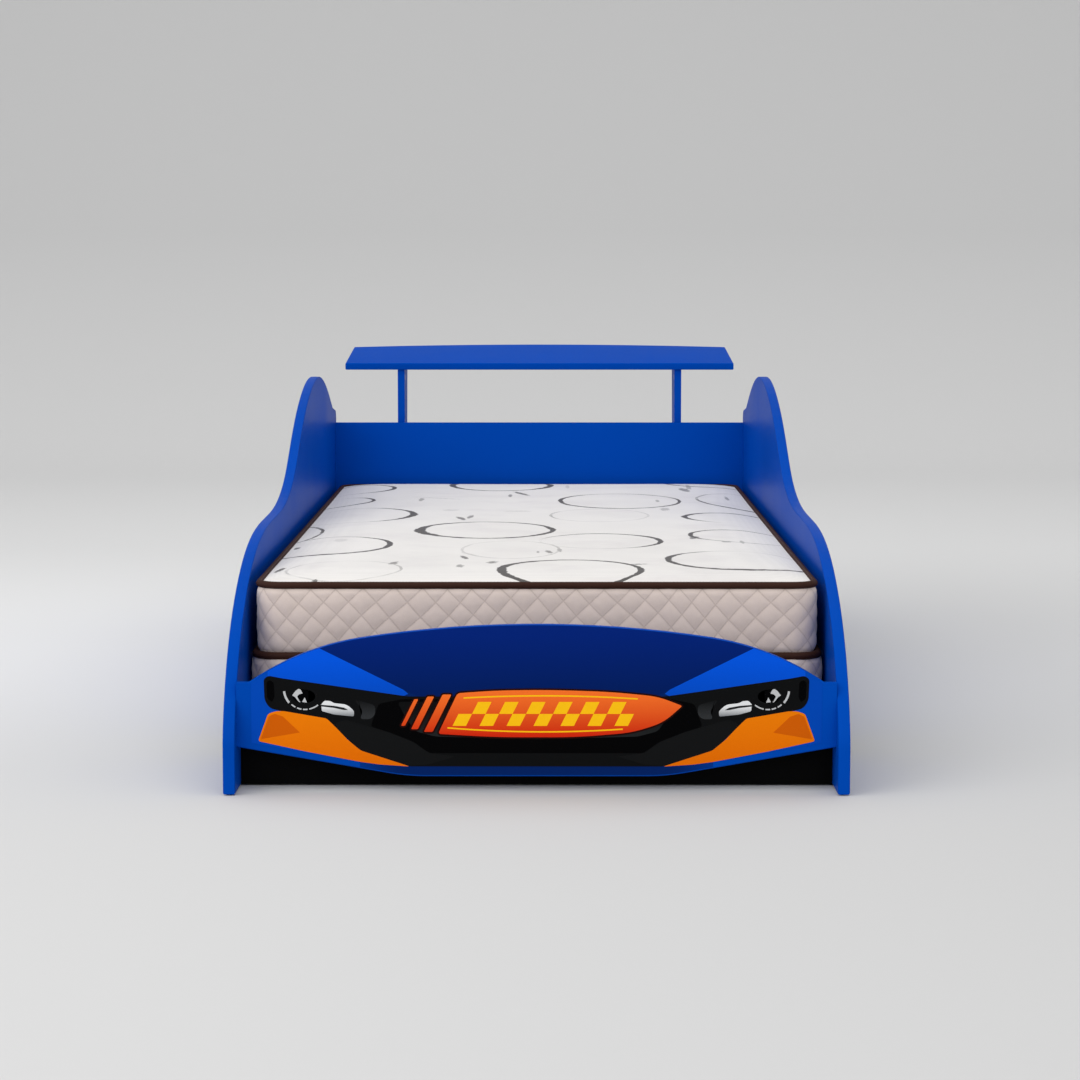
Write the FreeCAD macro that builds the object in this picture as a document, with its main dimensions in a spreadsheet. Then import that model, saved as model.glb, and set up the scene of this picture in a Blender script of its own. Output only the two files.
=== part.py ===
import FreeCAD, Part
import math
import os
import re
import Sketcher
from FreeCAD import Placement, Rotation, Vector

# Car bed for children: painted side panels cut to a car's outline, an arched
# front panel, a headboard with a raised rear wing, a slatted base and a
# two-tier mattress.  Millimetres.  +X is the right-hand side seen from the
# front, +Y runs from the front to the rear, +Z is up.  Heights are from the
# floor; lengths are from the front edges of the side panels.

# ---------------------------------------------------------------- sizes
SIZES = [
    # mattress: the size that the whole bed is made around
    ("mattress_width", 880, "lower tier, side to side"),
    ("mattress_length", 1880, "lower tier, head to foot"),
    ("mattress_side_gap", 5, "between the mattress and each side panel"),
    ("mattress_rear_gap", 2.5, "between the mattress and the headboard"),
    ("soft_clearance", 0.3, "between the mattress and the slats"),
    ("lower_tier_height", 67.5, "lower tier, without the piping"),
    ("upper_tier_height", 108.5, "upper tier, without the crown"),
    ("upper_tier_inset", 9, "upper tier inside the lower one, each side"),
    ("crown_rise", 9, "height of the crown over the upper edge"),
    ("crown_shoulder", 45, "width of the rounded shoulder of the crown"),
    ("crown_shoulder_rise", 5.4, "height of the crown at the inside of its shoulder"),
    ("crown_plateau_inset", 190, "from the edge to the flat of the crown"),
    ("mattress_corner", 50, "plan radius of the mattress corners"),
    ("edge_draw", 6, "how far the edges are drawn in by the piping"),
    ("side_draw", 1.5, "how far the band is drawn in near its edges"),
    ("band_shoulder", 12, "height over which the band rounds to its edge"),
    ("lower_piping_radius", 6, "lower piping"),
    ("upper_piping_radius", 5.5, "upper piping"),
    # boards
    ("side_board", 18, "thickness of the side panels"),
    ("board", 15, "thickness of every other board"),
    ("edge_ease", 1.5, "easing of the painted edges"),
    ("vinyl", 0.4, "printed vinyl with its adhesive"),
    ("nose_length", 172.5, "front edge of the bed to the mattress"),
    # side panel outline: poles of one smooth curve, front to rear
    ("fender_foot_z", 70, "top of the straight front edge"),
    ("fender_rise_z", 100, "front edge leaves the vertical"),
    ("fender_turn_y", 60, "turn of the fender"),
    ("fender_turn_z", 221, "turn of the fender"),
    ("bonnet_rise_y", 302, "fender runs into the bonnet"),
    ("bonnet_rise_z", 334, "fender runs into the bonnet"),
    ("bonnet_front_y", 558, "front of the level bonnet"),
    ("bonnet_front_z", 356, "front of the level bonnet"),
    ("bonnet_rear_y", 813, "rear of the level bonnet"),
    ("bonnet_rear_z", 348, "rear of the level bonnet"),
    ("screen_foot_y", 1050, "foot of the windscreen"),
    ("screen_foot_z", 384, "foot of the windscreen"),
    ("screen_rise_y", 1219, "rise of the windscreen"),
    ("screen_rise_z", 491, "rise of the windscreen"),
    ("roof_from_rear", 411, "crown of the roof, from the rear edge"),
    ("roof_z", 592, "pole over the roof, which peaks below it"),
    ("rear_screen_from_rear", 145, "rear screen, from the rear edge"),
    ("rear_screen_z", 481, "rear screen"),
    ("boot_length", 99, "boot lid, from the rear edge"),
    ("boot_front_z", 468, "front of the boot lid"),
    ("boot_rear_z", 456, "rear of the boot lid"),
    ("boot_corner", 22, "radius of the boot's rear corner"),
    # front panel
    ("front_recess", 28, "front panel behind the front edges"),
    ("arch_top_z", 251, "top of the arch"),
    ("arch_radius", 1700, "radius of the middle of the arch"),
    ("arch_shoulder_x", 260, "half-width of the middle of the arch"),
    ("arch_foot_inset", 18, "foot of the arch, from the side panel"),
    ("arch_foot_z", 164, "top of the panel beside the arch"),
    ("sill_flat_x", 192, "half-width of the level bottom edge"),
    ("sill_z", 24, "level bottom edge"),
    ("sill_end_z", 68, "bottom edge at the side panels"),
    ("sill_bend", 320, "radius between the level and the sloping edge"),
    ("print_side_margin", 22, "print inside the side panels"),
    ("print_top_margin", 2, "print below the top edge"),
    ("print_bottom_margin", 10, "print above the bottom edge"),
    # kick board
    ("kick_recess", 82, "kick board behind the front edges"),
    ("kick_top_z", 99, "top of the kick board"),
    # headboard, wing and posts
    ("headboard_bottom_z", 20, "bottom of the headboard"),
    ("headboard_top_z", 430, "top of the headboard"),
    ("wing_front_width", 847, "front edge of the wing"),
    ("wing_rear_width", 827, "rear edge of the wing, end to end"),
    ("wing_end_chord", 148, "depth of the wing at its ends"),
    ("wing_bow", 24, "bow of the wing's rear edge"),
    ("wing_tilt", 12, "tilt of the wing, in degrees, rear end up"),
    ("wing_overhang", 8, "front edge of the wing ahead of the posts"),
    ("wing_z", 545, "lower front edge of the wing"),
    ("post_spacing", 605, "between the middles of the two posts"),
    ("post_depth", 136, "depth of a post under the wing"),
    ("post_foot_depth", 84, "depth of a post at its foot"),
    ("post_bottom_z", 232, "foot of a post"),
    ("post_corner", 30, "radius of the foot's rear corner"),
    # slatted base
    ("slat_top_z", 115, "top of the slats"),
    ("slat_thickness", 15, "slat"),
    ("slat_width", 75, "slat"),
    ("slat_end_gap", 3, "between a slat's end and the side panel"),
    ("slat_setback", 42, "first and last slat's middle from the mattress's ends"),
    ("slat_count", 12, "number of slats"),
    ("slat_ease", 2, "easing of the slats' long edges"),
    ("tape_width", 32, "webbing tape that spaces the slats"),
    ("tape_thickness", 1.2, "webbing tape, with its staples"),
    ("tape_gap", 30, "tape from the side rail"),
    ("rail_height", 40, "side rail"),
    ("rail_thickness", 25, "side rail"),
    ("rail_end_gap", 0.5, "between a rail's end and the board it meets"),
    ("beam_width", 30, "centre beam"),
    ("beam_height", 40, "centre beam"),
    ("stop_width", 22, "mattress stop"),
    ("stop_height", 30, "mattress stop above the rails"),
    ("stop_gap", 2.5, "between the stop and the mattress"),
    ("hanger_steel", 2, "sheet steel of the beam hangers"),
    ("hanger_depth", 32, "seat of a beam hanger"),
    ("hanger_wing", 22, "width of each hanger flange"),
    ("hanger_height", 34, "height of a hanger above its seat"),
    ("hanger_play", 0.5, "between the beam and the hanger's cheeks"),
    ("leg_side", 42, "square centre leg"),
    ("leg_ease", 3, "easing of a centre leg's upright edges"),
    ("leg_stem_radius", 4, "hanger bolt of a centre leg"),
    ("leg_stem_length", 26, "hanger bolt, in the leg and in the beam"),
    ("front_leg_share", 0.34, "front centre leg, as a share of the beam from its front"),
    ("rear_leg_share", 0.68, "rear centre leg, as a share of the beam from its front"),
    # hardware
    ("glide_height", 2, "floor glides"),
    ("glide_radius", 7.5, "floor glides"),
    ("glide_setback", 60, "outer glides from the ends of a side panel"),
    ("drill_clearance", 0.1, "radial room round bolts, locks and screws"),
    ("dowel_clearance", 0.05, "radial room round a dowel"),
    ("drill_depth_room", 0.5, "room at the bottom of a drilled hole"),
    ("bolt_thread_radius", 3, "cam bolt"),
    ("bolt_thread_length", 10, "cam bolt"),
    ("bolt_bore_radius", 4, "drilled way of a cam bolt in the board's edge"),
    ("lock_reach", 24, "middle of the lock from the joint"),
    ("lock_radius", 7.5, "cam lock"),
    ("lock_depth", 12, "cam lock"),
    ("lock_slot_width", 2.4, "driver slot of the lock"),
    ("lock_slot_depth", 1.6, "driver slot of the lock"),
    ("rod_sides", 8, "sides that stand for the round of small hardware"),
    ("lock_sides", 12, "sides that stand for the round of locks and glides"),
    ("dowel_radius", 4, "wood dowel"),
    ("dowel_short_end", 10, "wood dowel, in the drilled face"),
    ("dowel_long_end", 20, "wood dowel, in the board's edge"),
    ("joint_margin", 22, "outer locks of a joint from the board's edges"),
    ("screw_radius", 1.75, "wood screws"),
    ("screw_head_radius", 3.6, "wood screws"),
    ("slat_screw_length", 30, "slat to rail"),
    ("rail_screw_length", 36, "rail to side panel"),
    ("stop_screw_length", 46, "stop to rail"),
    ("hanger_screw_length", 13, "hanger to board"),
    # printed wheels
    ("wheel_radius", 150, "printed wheel"),
    ("wheel_z", 158, "middle of a printed wheel"),
    ("front_wheel_y", 430, "middle of the front wheel"),
    ("rear_wheel_from_rear", 395, "middle of the rear wheel, from the rear edge"),
]

doc = FreeCAD.newDocument("car_bed")
sheet = doc.addObject("Spreadsheet::Sheet", "Sizes")
for row, (alias, size, note) in enumerate(SIZES, start=1):
    sheet.set("A%d" % row, alias.replace("_", " "))
    sheet.set("B%d" % row, str(size))
    sheet.setAlias("B%d" % row, alias)
    sheet.set("C%d" % row, note)
doc.recompute()

ALIASES = {alias for alias, size, note in SIZES}
NEAR = 0.01    # points closer than this lie together

# Lengths and heights that follow from the sizes, as formulas of the sheet.
INNER_HALF = "(mattress_width / 2 + mattress_side_gap)"
HEADBOARD_Y = "(nose_length + mattress_length + mattress_rear_gap)"
BED_LENGTH = "(%s + board)" % HEADBOARD_Y
KICK_REAR = "(kick_recess + board)"
RAIL_TOP = "(slat_top_z - slat_thickness)"
RAIL_BOTTOM = "(%s - rail_height)" % RAIL_TOP
BEAM_BOTTOM = "(%s - beam_height)" % RAIL_TOP
MATTRESS_Z = "(slat_top_z + soft_clearance)"
TIER_Z = "(%s + lower_tier_height)" % MATTRESS_Z
WING_Y = "(%s - wing_overhang)" % BED_LENGTH
WING_CHORD = "(wing_end_chord + wing_bow)"
STOP_Y = "(nose_length - stop_gap - stop_width)"
RAIL_LENGTH = "(%s - %s - 2 * rail_end_gap)" % (HEADBOARD_Y, KICK_REAR)
RAIL_START = "(%s + rail_end_gap)" % KICK_REAR
SLAT_LENGTH = "(2 * (%s - slat_end_gap))" % INNER_HALF
LEG_HEIGHT = "(%s - glide_height)" % BEAM_BOTTOM
LEG_Y = {end: "(%s + %s * %s_leg_share)" % (RAIL_START, RAIL_LENGTH, end) for end in ("front", "rear")}
FIRST_SLAT = "(nose_length + slat_setback)"
LAST_SLAT = "(nose_length + mattress_length - slat_setback)"
MATTRESS_MIDDLE = "(nose_length + mattress_length / 2)"


def bound(formula):
    """The formula as an expression that reads the sheet."""
    return re.sub(r"[A-Za-z_]+", lambda m: "Sizes." + m[0] if m[0] in ALIASES else m[0], str(formula))


def size(formula):
    """The formula's value now."""
    return float(sheet.evalExpression(bound(formula)))


def overall_length():
    """Front edges of the side panels to the eased rear edge of the wing."""
    tilt = math.radians(size("wing_tilt"))
    ease = size("edge_ease")
    chord = size(WING_CHORD)
    reach = max((chord - ease) * math.cos(tilt), chord * math.cos(tilt) - ease * math.sin(tilt))
    return size(WING_Y) + reach


FRONT = Vector(0, -overall_length() / 2, 0)


# ---------------------------------------------------------------- helpers
def new_body(name):
    return doc.addObject("PartDesign::Body", name)


def new_sketch(body, name, role, offset=None):
    """A sketch on one of the body's own planes, lifted by the formula offset."""
    sketch = body.newObject("Sketcher::SketchObject", name)
    plane = [f for f in body.Origin.OriginFeatures if f.Role == role][0]
    sketch.AttachmentSupport = [(plane, "")]
    sketch.MapMode = "FlatFace"
    if offset is not None:
        sketch.setExpression("AttachmentOffset.Base.z", bound(offset))
    return sketch


def dimension(sketch, kind, *where, formula):
    """A driving dimension bound to the sheet."""
    index = sketch.addConstraint(Sketcher.Constraint(kind, *where, size(formula)))
    label = "dim%d" % index
    sketch.renameConstraint(index, label)
    sketch.setExpression("Constraints." + label, bound(formula))


def pin(sketch, geometry, end, u, v):
    """Hold a point of the sketch at the formulas u and v from the origin."""
    for kind, formula in (("DistanceX", u), ("DistanceY", v)):
        if formula is not None:
            dimension(sketch, kind, -1, 1, geometry, end, formula=formula)


def join(sketch, chain):
    """Join a closed chain of edges, end to start."""
    for one, two in zip(chain, chain[1:] + chain[:1]):
        sketch.addConstraint(Sketcher.Constraint("Coincident", one, 2, two, 1))


def polygon(sketch, corners):
    """A closed outline of straight edges through corners given as formulas."""
    points = [Vector(size(u), size(v), 0) for u, v in corners]
    chain = []
    for one, two in zip(points, points[1:] + points[:1]):
        chain.append(sketch.addGeometry(Part.LineSegment(one, two), False))
    join(sketch, chain)
    for edge, (u, v) in zip(chain, corners):
        pin(sketch, edge, 1, u, v)
    return chain


def pad(body, sketch, length):
    feature = body.newObject("PartDesign::Pad", "Pad")
    feature.Profile = sketch
    feature.setExpression("Length", bound(length))
    doc.recompute()
    return feature


def edges_where(shape, test):
    """Names of the shape's edges of which every sampled point passes the test."""
    found = []
    for index, edge in enumerate(shape.Edges, start=1):
        points = edge.discretize(Number=5) if edge.Length > 0 else []
        if points and all(test(p) for p in points):
            found.append("Edge%d" % index)
    return found


def near(value, levels):
    return any(abs(value - level) < NEAR for level in levels)


def fillet(body, feature, edges, radius, name):
    rounding = body.newObject("PartDesign::Fillet", name)
    rounding.Base = (feature, edges)
    rounding.setExpression("Radius", bound(radius))
    doc.recompute()
    return rounding


def ease(body, feature, edges, width):
    """Break sharp edges with a narrow flat, as sanding and paint leave them."""
    flat = body.newObject("PartDesign::Chamfer", "EasedEdges")
    flat.Base = (feature, edges)
    flat.setExpression("Size", bound(width))
    doc.recompute()
    return flat


nodes = []
UPRIGHT = Rotation(Vector(0, 1, 0), -90)    # turns local X up


def finish_node(item, label, x="0", y="0", z="0"):
    """Name a finished sub-part and move it to the frame whose origin is under the bed's middle."""
    item.Label = label
    place = item.Placement
    for path, formula in item.ExpressionEngine:
        item.setExpression(path, None)
    shift = Placement(Vector(size(x), size(y), size(z)) + FRONT, Rotation())
    item.Placement = shift.multiply(place)
    nodes.append(item)
    return item


def cut(label, base, tools):
    """The base less the tools, both in the bed's own lengths and heights."""
    holes = doc.addObject("Part::Feature", label + "_drillings")
    holes.Shape = Part.makeCompound(tools)
    result = doc.addObject("Part::Cut", label + "_cut")
    result.Base = base
    result.Tool = holes
    doc.recompute()
    return finish_node(result, label)


def group(label, shapes):
    """Separate like solids that share one node."""
    item = doc.addObject("Part::Feature", label + "_group")
    item.Shape = Part.makeCompound(shapes)
    return finish_node(item, label)


def ring(radius, sides, station):
    """A regular polygon about local X, drawn through the circle of the radius."""
    turns = [2 * math.pi * k / sides for k in range(sides)]
    corners = [Vector(station, radius * math.cos(turn), radius * math.sin(turn)) for turn in turns]
    return Part.makePolygon(corners + corners[:1])


def rod(radius, start, end, end_radius=None):
    """A rod along local X between two stations, tapered if it has an end radius."""
    sides = int(size("rod_sides"))
    if end_radius is None:
        end_radius = radius
    return Part.makeLoft([ring(radius, sides, start), ring(end_radius, sides, end)], True, True)


def drum(radius, height, place):
    """A short round piece along +Z of its place."""
    outline = ring(radius, int(size("lock_sides")), 0)
    solid = Part.Face(outline).extrude(Vector(height, 0, 0))
    solid.Placement = place.multiply(Placement(Vector(), UPRIGHT))
    return solid


def placed(shape, place):
    copy = shape.copy()
    copy.Placement = place.multiply(copy.Placement)
    return copy


def station(origin, along, facing):
    """A local frame: +X along the fastener, +Z out of the face that it is turned from."""
    return Placement(origin, Rotation(along, Vector(), facing, "XZY"))


# ---------------------------------------------------------------- hardware
hardware = {"cam_bolts": [], "cam_locks": [], "wood_dowels": []}
drillings = {}


def drill(board, shape):
    drillings.setdefault(board, []).append(shape)


def lock_drum(radius, depth):
    """The lock's drum, or its pocket, sunk in the face of a board at the lock's reach."""
    top = Vector(size("lock_reach"), 0, size("board") / 2 - depth)
    return drum(radius, depth, Placement(top, Rotation()))


def cam_lock():
    """The drum of a lock with a driver slot across its face."""
    radius = size("lock_radius")
    width = size("lock_slot_width")
    depth = size("lock_slot_depth")
    corner = Vector(size("lock_reach") - radius / 2, -width / 2, size("board") / 2 - depth)
    return lock_drum(radius, size("lock_depth")).cut(Part.makeBox(radius, width, depth, corner))


def cam_joint(place, face_board, edge_board):
    """Bolt in the face of one board, lock in the other: local X runs into the second."""
    room = size("drill_clearance")
    end = size("drill_depth_room")
    thread = size("bolt_thread_radius")
    buried = -size("bolt_thread_length")
    rim = size("lock_reach - lock_radius")
    hardware["cam_bolts"].append(placed(rod(thread, buried, rim - end), place))
    hardware["cam_locks"].append(placed(cam_lock(), place))
    drill(face_board, placed(rod(thread + room, buried - end, 0), place))
    bore = rod(size("bolt_bore_radius"), 0, size("lock_reach"))
    pocket = lock_drum(size("lock_radius") + room, size("lock_depth") + end)
    drill(edge_board, placed(bore.fuse(pocket), place))


def dowel_joint(place, face_board, edge_board):
    """A dowel across a joint: local X runs into the board's edge."""
    radius = size("dowel_radius")
    room = size("dowel_clearance")
    end = size("drill_depth_room")
    short = size("dowel_short_end")
    long = size("dowel_long_end")
    hardware["wood_dowels"].append(placed(rod(radius, -short, long), place))
    drill(face_board, placed(rod(radius + room, -short - end, 0), place))
    drill(edge_board, placed(rod(radius + room, 0, long + end), place))


def screw(length, room=0, end=0):
    """A countersunk screw whose face is at local X = 0, or its hole where there is room."""
    head = size("screw_head_radius") + room
    shank = size("screw_radius") + room
    sink = head - shank
    return rod(head, 0, sink, shank).fuse(rod(shank, sink, size(length) + end))


def screw_row(label, length, places, boards):
    """Countersunk screws at the places, each drilled through the boards named for it."""
    hole = screw(length, size("drill_clearance"), size("drill_depth_room"))
    for index, place in enumerate(places):
        for board in boards(index):
            drill(board, placed(hole, place))
    hardware[label] = [placed(screw(length), place) for place in places]


def leg_bolt(end, room=0, deeper=0):
    """The hanger bolt between a centre leg and the beam, or its hole."""
    reach = size("leg_stem_length") + deeper
    place = Placement(Vector(0, size(LEG_Y[end]), size(BEAM_BOTTOM)), UPRIGHT)
    return placed(rod(size("leg_stem_radius") + room, -reach, reach), place)


# ---------------------------------------------------------------- where the hardware goes
SIDES = (("left", -1), ("right", 1))
RAIL_SCREWS = 4    # each side


def spread(low, high, count):
    """Stations of count locks between two edges, and of the dowels between them."""
    margin = size("joint_margin")
    step = (high - low - 2 * margin) / (count - 1)
    locks = [low + margin + step * k for k in range(count)]
    dowels = [z + step / 2 for z in locks[:-1]]
    return locks, dowels


def join_boards(face_board, edge_board, locks, dowels, origin, run, along, facing):
    """Locks and dowels at stations along run, from origin, between two boards."""
    for make, stations in ((cam_joint, locks), (dowel_joint, dowels)):
        for s in stations:
            make(station(origin + run * s, along, facing), face_board, edge_board)


def join_cross_boards():
    """Front panel, kick board and headboard, each let in between the side panels."""
    crossings = (
        ("front_panel", "front_recess", "sill_end_z", "arch_foot_z", 2),
        ("kick_board", "kick_recess", "glide_height", "kick_top_z", 2),
        ("headboard_panel", HEADBOARD_Y, "headboard_bottom_z", "headboard_top_z", 2),
    )
    for board, front, bottom, top, count in crossings:
        locks, dowels = spread(size(bottom), size(top), count)
        middle = size(front) + size("board") / 2
        for side, sign in SIDES:
            origin = Vector(sign * size(INNER_HALF), middle, 0)
            join_boards("side_panel_" + side, board, locks, dowels, origin,
                        Vector(0, 0, 1), Vector(-sign, 0, 0), Vector(0, 1, 0))


def join_posts():
    """Each post to the headboard in front of it and to the wing on top of it."""
    tilt = math.radians(size("wing_tilt"))
    slope = Vector(0, math.cos(tilt), math.sin(tilt))
    down = Vector(0, math.sin(tilt), -math.cos(tilt))
    start = size("wing_overhang") / math.cos(tilt)
    length = size("post_depth") / math.cos(tilt)
    for side, sign in SIDES:
        post = "spoiler_post_" + side
        x = sign * size("post_spacing") / 2
        inward = Vector(-sign, 0, 0)
        locks, dowels = spread(size("post_bottom_z"), size("headboard_top_z"), 2)
        join_boards("headboard_panel", post, locks, dowels, Vector(x, size(BED_LENGTH), 0),
                    Vector(0, 0, 1), Vector(0, 1, 0), inward)
        locks, dowels = spread(start, start + length, 2)
        join_boards("spoiler_wing", post, locks, dowels, Vector(x, size(WING_Y), size("wing_z")),
                    slope, down, inward)


def slat_middle(index):
    """The formula for the middle of one slat: they are evenly spaced."""
    return "(%s + (%s - %s) * %d / (slat_count - 1))" % (FIRST_SLAT, LAST_SLAT, FIRST_SLAT, index)


def slat_stations():
    """Middle of each slat, front to rear."""
    return [size(slat_middle(k)) for k in range(int(size("slat_count")))]


def slat_name(index):
    return "slat_%02d" % (index + 1)


def screw_base():
    """Screws of the rails, slats, mattress stop and beam hangers, and the bolts of the legs."""
    slats = slat_stations()
    half = size(INNER_HALF)
    thickness = size("rail_thickness")
    rail_middle = size(RAIL_BOTTOM) + size("rail_height") / 2
    gaps = [round(k * (len(slats) - 2) / (RAIL_SCREWS - 1)) for k in range(RAIL_SCREWS)]
    between = [(slats[k] + slats[k + 1]) / 2 for k in gaps]
    places = [station(Vector(sign * (half - thickness), y, rail_middle), Vector(sign, 0, 0), Vector(0, 0, 1))
              for side, sign in SIDES for y in between]
    screw_row("rail_screws", "rail_screw_length", places,
              lambda k: [name + SIDES[k // len(between)][0] for name in ("side_rail_", "side_panel_")])

    def over_rails(stations, top):
        return [station(Vector(sign * (half - thickness / 2), y, top), Vector(0, 0, -1), Vector(1, 0, 0))
                for y in stations for side, sign in SIDES]

    screw_row("slat_screws", "slat_screw_length", over_rails([slats[0], slats[-1]], size("slat_top_z")),
              lambda k: [slat_name(k // 2 * (len(slats) - 1)), "side_rail_" + SIDES[k % 2][0]])
    stop_y = size(STOP_Y) + size("stop_width") / 2
    screw_row("stop_screws", "stop_screw_length", over_rails([stop_y], size(RAIL_TOP) + size("stop_height")),
              lambda k: ["mattress_stop", "side_rail_" + SIDES[k % 2][0]])

    flange = size("beam_width / 2 + hanger_play + hanger_steel + hanger_wing / 2")
    level = size(BEAM_BOTTOM) + size("hanger_height") / 2
    ends = (("front", "kick_board", size(KICK_REAR) + size("hanger_steel"), -1),
            ("rear", "headboard_panel", size(HEADBOARD_Y) - size("hanger_steel"), 1))
    places = [station(Vector(sign * flange, y, level), Vector(0, way, 0), Vector(0, 0, 1))
              for end, board, y, way in ends for side, sign in SIDES]
    screw_row("hanger_screws", "hanger_screw_length", places,
              lambda k: ["beam_hanger_" + ends[k // 2][0], ends[k // 2][1]])
    for end in LEG_Y:
        hole = leg_bolt(end, size("drill_clearance"), size("drill_depth_room"))
        drill("centre_beam", hole)
        drill("centre_leg_" + end, hole)
    hardware["leg_bolts"] = [leg_bolt(end) for end in LEG_Y]


# ---------------------------------------------------------------- painted boards
def smooth_curve(sketch, poles):
    """One cubic curve whose poles are formulas, held at its ends' poles."""
    degree = 3
    spans = len(poles) - degree
    ends = [degree + 1]
    curve = Part.BSplineCurve()
    curve.buildFromPolesMultsKnots([Vector(size(u), size(v), 0) for u, v in poles],
                                   ends + [1] * (spans - 1) + ends,
                                   [float(k) for k in range(spans + 1)], False, degree)
    edge = sketch.addGeometry(curve, False)
    sketch.exposeInternalGeometry(edge)
    for index, (u, v) in enumerate(poles, start=1):
        pin(sketch, edge + index, 3, u, v)
    return edge


def ease_outline(body, feature, axis, faces, skip=None):
    """Ease the edges that lie in the two faces across the given axis."""
    def in_face(p):
        return near(p[axis], faces) and not (skip and skip(p))
    return ease(body, feature, edges_where(feature.Shape, in_face), "edge_ease")


SIDE_POLES = [
    ("0", "fender_foot_z"),
    ("0", "fender_rise_z"),
    ("fender_turn_y", "fender_turn_z"),
    ("bonnet_rise_y", "bonnet_rise_z"),
    ("bonnet_front_y", "bonnet_front_z"),
    ("bonnet_rear_y", "bonnet_rear_z"),
    ("screen_foot_y", "screen_foot_z"),
    ("screen_rise_y", "screen_rise_z"),
    (BED_LENGTH + " - roof_from_rear", "roof_z"),
    (BED_LENGTH + " - rear_screen_from_rear", "rear_screen_z"),
    (BED_LENGTH + " - boot_length", "boot_front_z"),
]


def side_panel(side, sign):
    """A panel cut to the car's outline: nose, bonnet, roof and boot."""
    name = "side_panel_" + side
    body = new_body(name + "_board")
    sketch = new_sketch(body, name + "_outline", "YZ_Plane")
    top = smooth_curve(sketch, SIDE_POLES)
    corners = [(BED_LENGTH + " - boot_length", "boot_front_z"), (BED_LENGTH, "boot_rear_z"),
               (BED_LENGTH, "glide_height"), ("0", "glide_height"), ("0", "fender_foot_z")]
    points = [Vector(size(u), size(v), 0) for u, v in corners]
    lines = [sketch.addGeometry(Part.LineSegment(a, b), False) for a, b in zip(points, points[1:])]
    join(sketch, [top] + lines)
    for line, (u, v) in zip(lines[1:], corners[1:-1]):
        pin(sketch, line, 1, u, v)
    board = pad(body, sketch, "side_board")

    rear = size(BED_LENGTH)
    height = size("boot_rear_z")
    corner = edges_where(board.Shape, lambda p: near(p.y, [rear]) and near(p.z, [height]))
    board = fillet(body, board, corner, "boot_corner", "BootCorner")
    ease_outline(body, board, 0, (0, size("side_board")))
    offset = "-%s - side_board" % INNER_HALF if sign < 0 else INNER_HALF
    body.setExpression("Placement.Base.x", bound(offset))
    doc.recompute()
    return cut(name, body, drillings[name])


def arched_outline(sketch, half, foot, crown_drop, sill_rise):
    """The front panel's outline, or one set inside it: arch above, bent sill below.

    half is the outline's half-width and foot the half-width of the arch at its foot.
    """
    sill_end = "sill_z + (sill_end_z - sill_z) * (%s - sill_flat_x) / (%s - sill_flat_x) + %s" % (
        half, INNER_HALF, sill_rise)
    radius = "arch_radius - " + crown_drop
    centre_z = "arch_top_z - arch_radius"
    shoulder = "arch_shoulder_x"
    shoulder_z = size(centre_z) + math.sqrt(size(radius) ** 2 - size(shoulder) ** 2)
    inner = Vector(size(shoulder), shoulder_z, 0)
    outer = Vector(size(foot), size("arch_foot_z"), 0)
    chord = outer - inner
    bulge = inner + chord / 2 + Vector(-chord.y, chord.x, 0) / 16    # a first guess: the tangents set it

    def flip(p):
        return Vector(-p.x, p.y, 0)

    top = Vector(0, size(centre_z + " + " + radius), 0)
    arcs = [sketch.addGeometry(Part.Arc(outer, bulge, inner), False),
            sketch.addGeometry(Part.Arc(inner, top, flip(inner)), False),
            sketch.addGeometry(Part.Arc(flip(inner), flip(bulge), flip(outer)), False)]
    ledge = [(half, "arch_foot_z")] if half != foot else []
    right = ledge + [(half, sill_end), ("sill_flat_x", "sill_z + " + sill_rise)]
    corners = [("-(%s)" % u, v) for u, v in right] + right[::-1]
    points = [Vector(size(u), size(v), 0) for u, v in corners]
    stops = [flip(outer)] + points + [outer]
    lines = [sketch.addGeometry(Part.LineSegment(a, b), False) for a, b in zip(stops, stops[1:])]

    for one, two in zip(arcs, arcs[1:]):
        sketch.addConstraint(Sketcher.Constraint("Tangent", one, 2, two, 1))
    chain = [arcs[2]] + lines + [arcs[0]]
    for one, two in zip(chain, chain[1:]):
        sketch.addConstraint(Sketcher.Constraint("Coincident", one, 2, two, 1))
    pin(sketch, arcs[1], 3, "0", centre_z)
    dimension(sketch, "Radius", arcs[1], formula=radius)
    pin(sketch, arcs[1], 1, shoulder, None)
    pin(sketch, arcs[1], 2, "-" + shoulder, None)
    pin(sketch, arcs[0], 1, foot, "arch_foot_z")
    pin(sketch, arcs[2], 2, "-(%s)" % foot, "arch_foot_z")
    for line, (u, v) in zip(lines[1:], corners):
        pin(sketch, line, 1, u, v)


def arched_plate(name, half, foot, crown_drop, sill_rise, thickness):
    body = new_body(name + "_board")
    sketch = new_sketch(body, name + "_outline", "XZ_Plane")
    arched_outline(sketch, half, foot, crown_drop, sill_rise)
    plate = pad(body, sketch, thickness)
    bend = size("sill_flat_x")
    bends = edges_where(plate.Shape, lambda p: near(abs(p.x), [bend]))
    return body, fillet(body, plate, bends, "sill_bend", "SillBends")


def front_panel():
    """The arched panel between the two fenders, with its bent sill."""
    foot = INNER_HALF + " - arch_foot_inset"
    body, plate = arched_plate("front_panel", INNER_HALF, foot, "0", "0", "board")
    end = size(INNER_HALF)
    ease_outline(body, plate, 1, (0, -size("board")), lambda p: near(abs(p.x), [end]))
    body.setExpression("Placement.Base.y", bound("front_recess + board"))
    doc.recompute()
    return cut("front_panel", body, drillings["front_panel"])


def front_print():
    """The printed vinyl on the front panel."""
    half = INNER_HALF + " - print_side_margin"
    body, plate = arched_plate("front_print", half, half, "print_top_margin", "print_bottom_margin", "vinyl")
    return finish_node(body, "front_print", y="front_recess")


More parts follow.
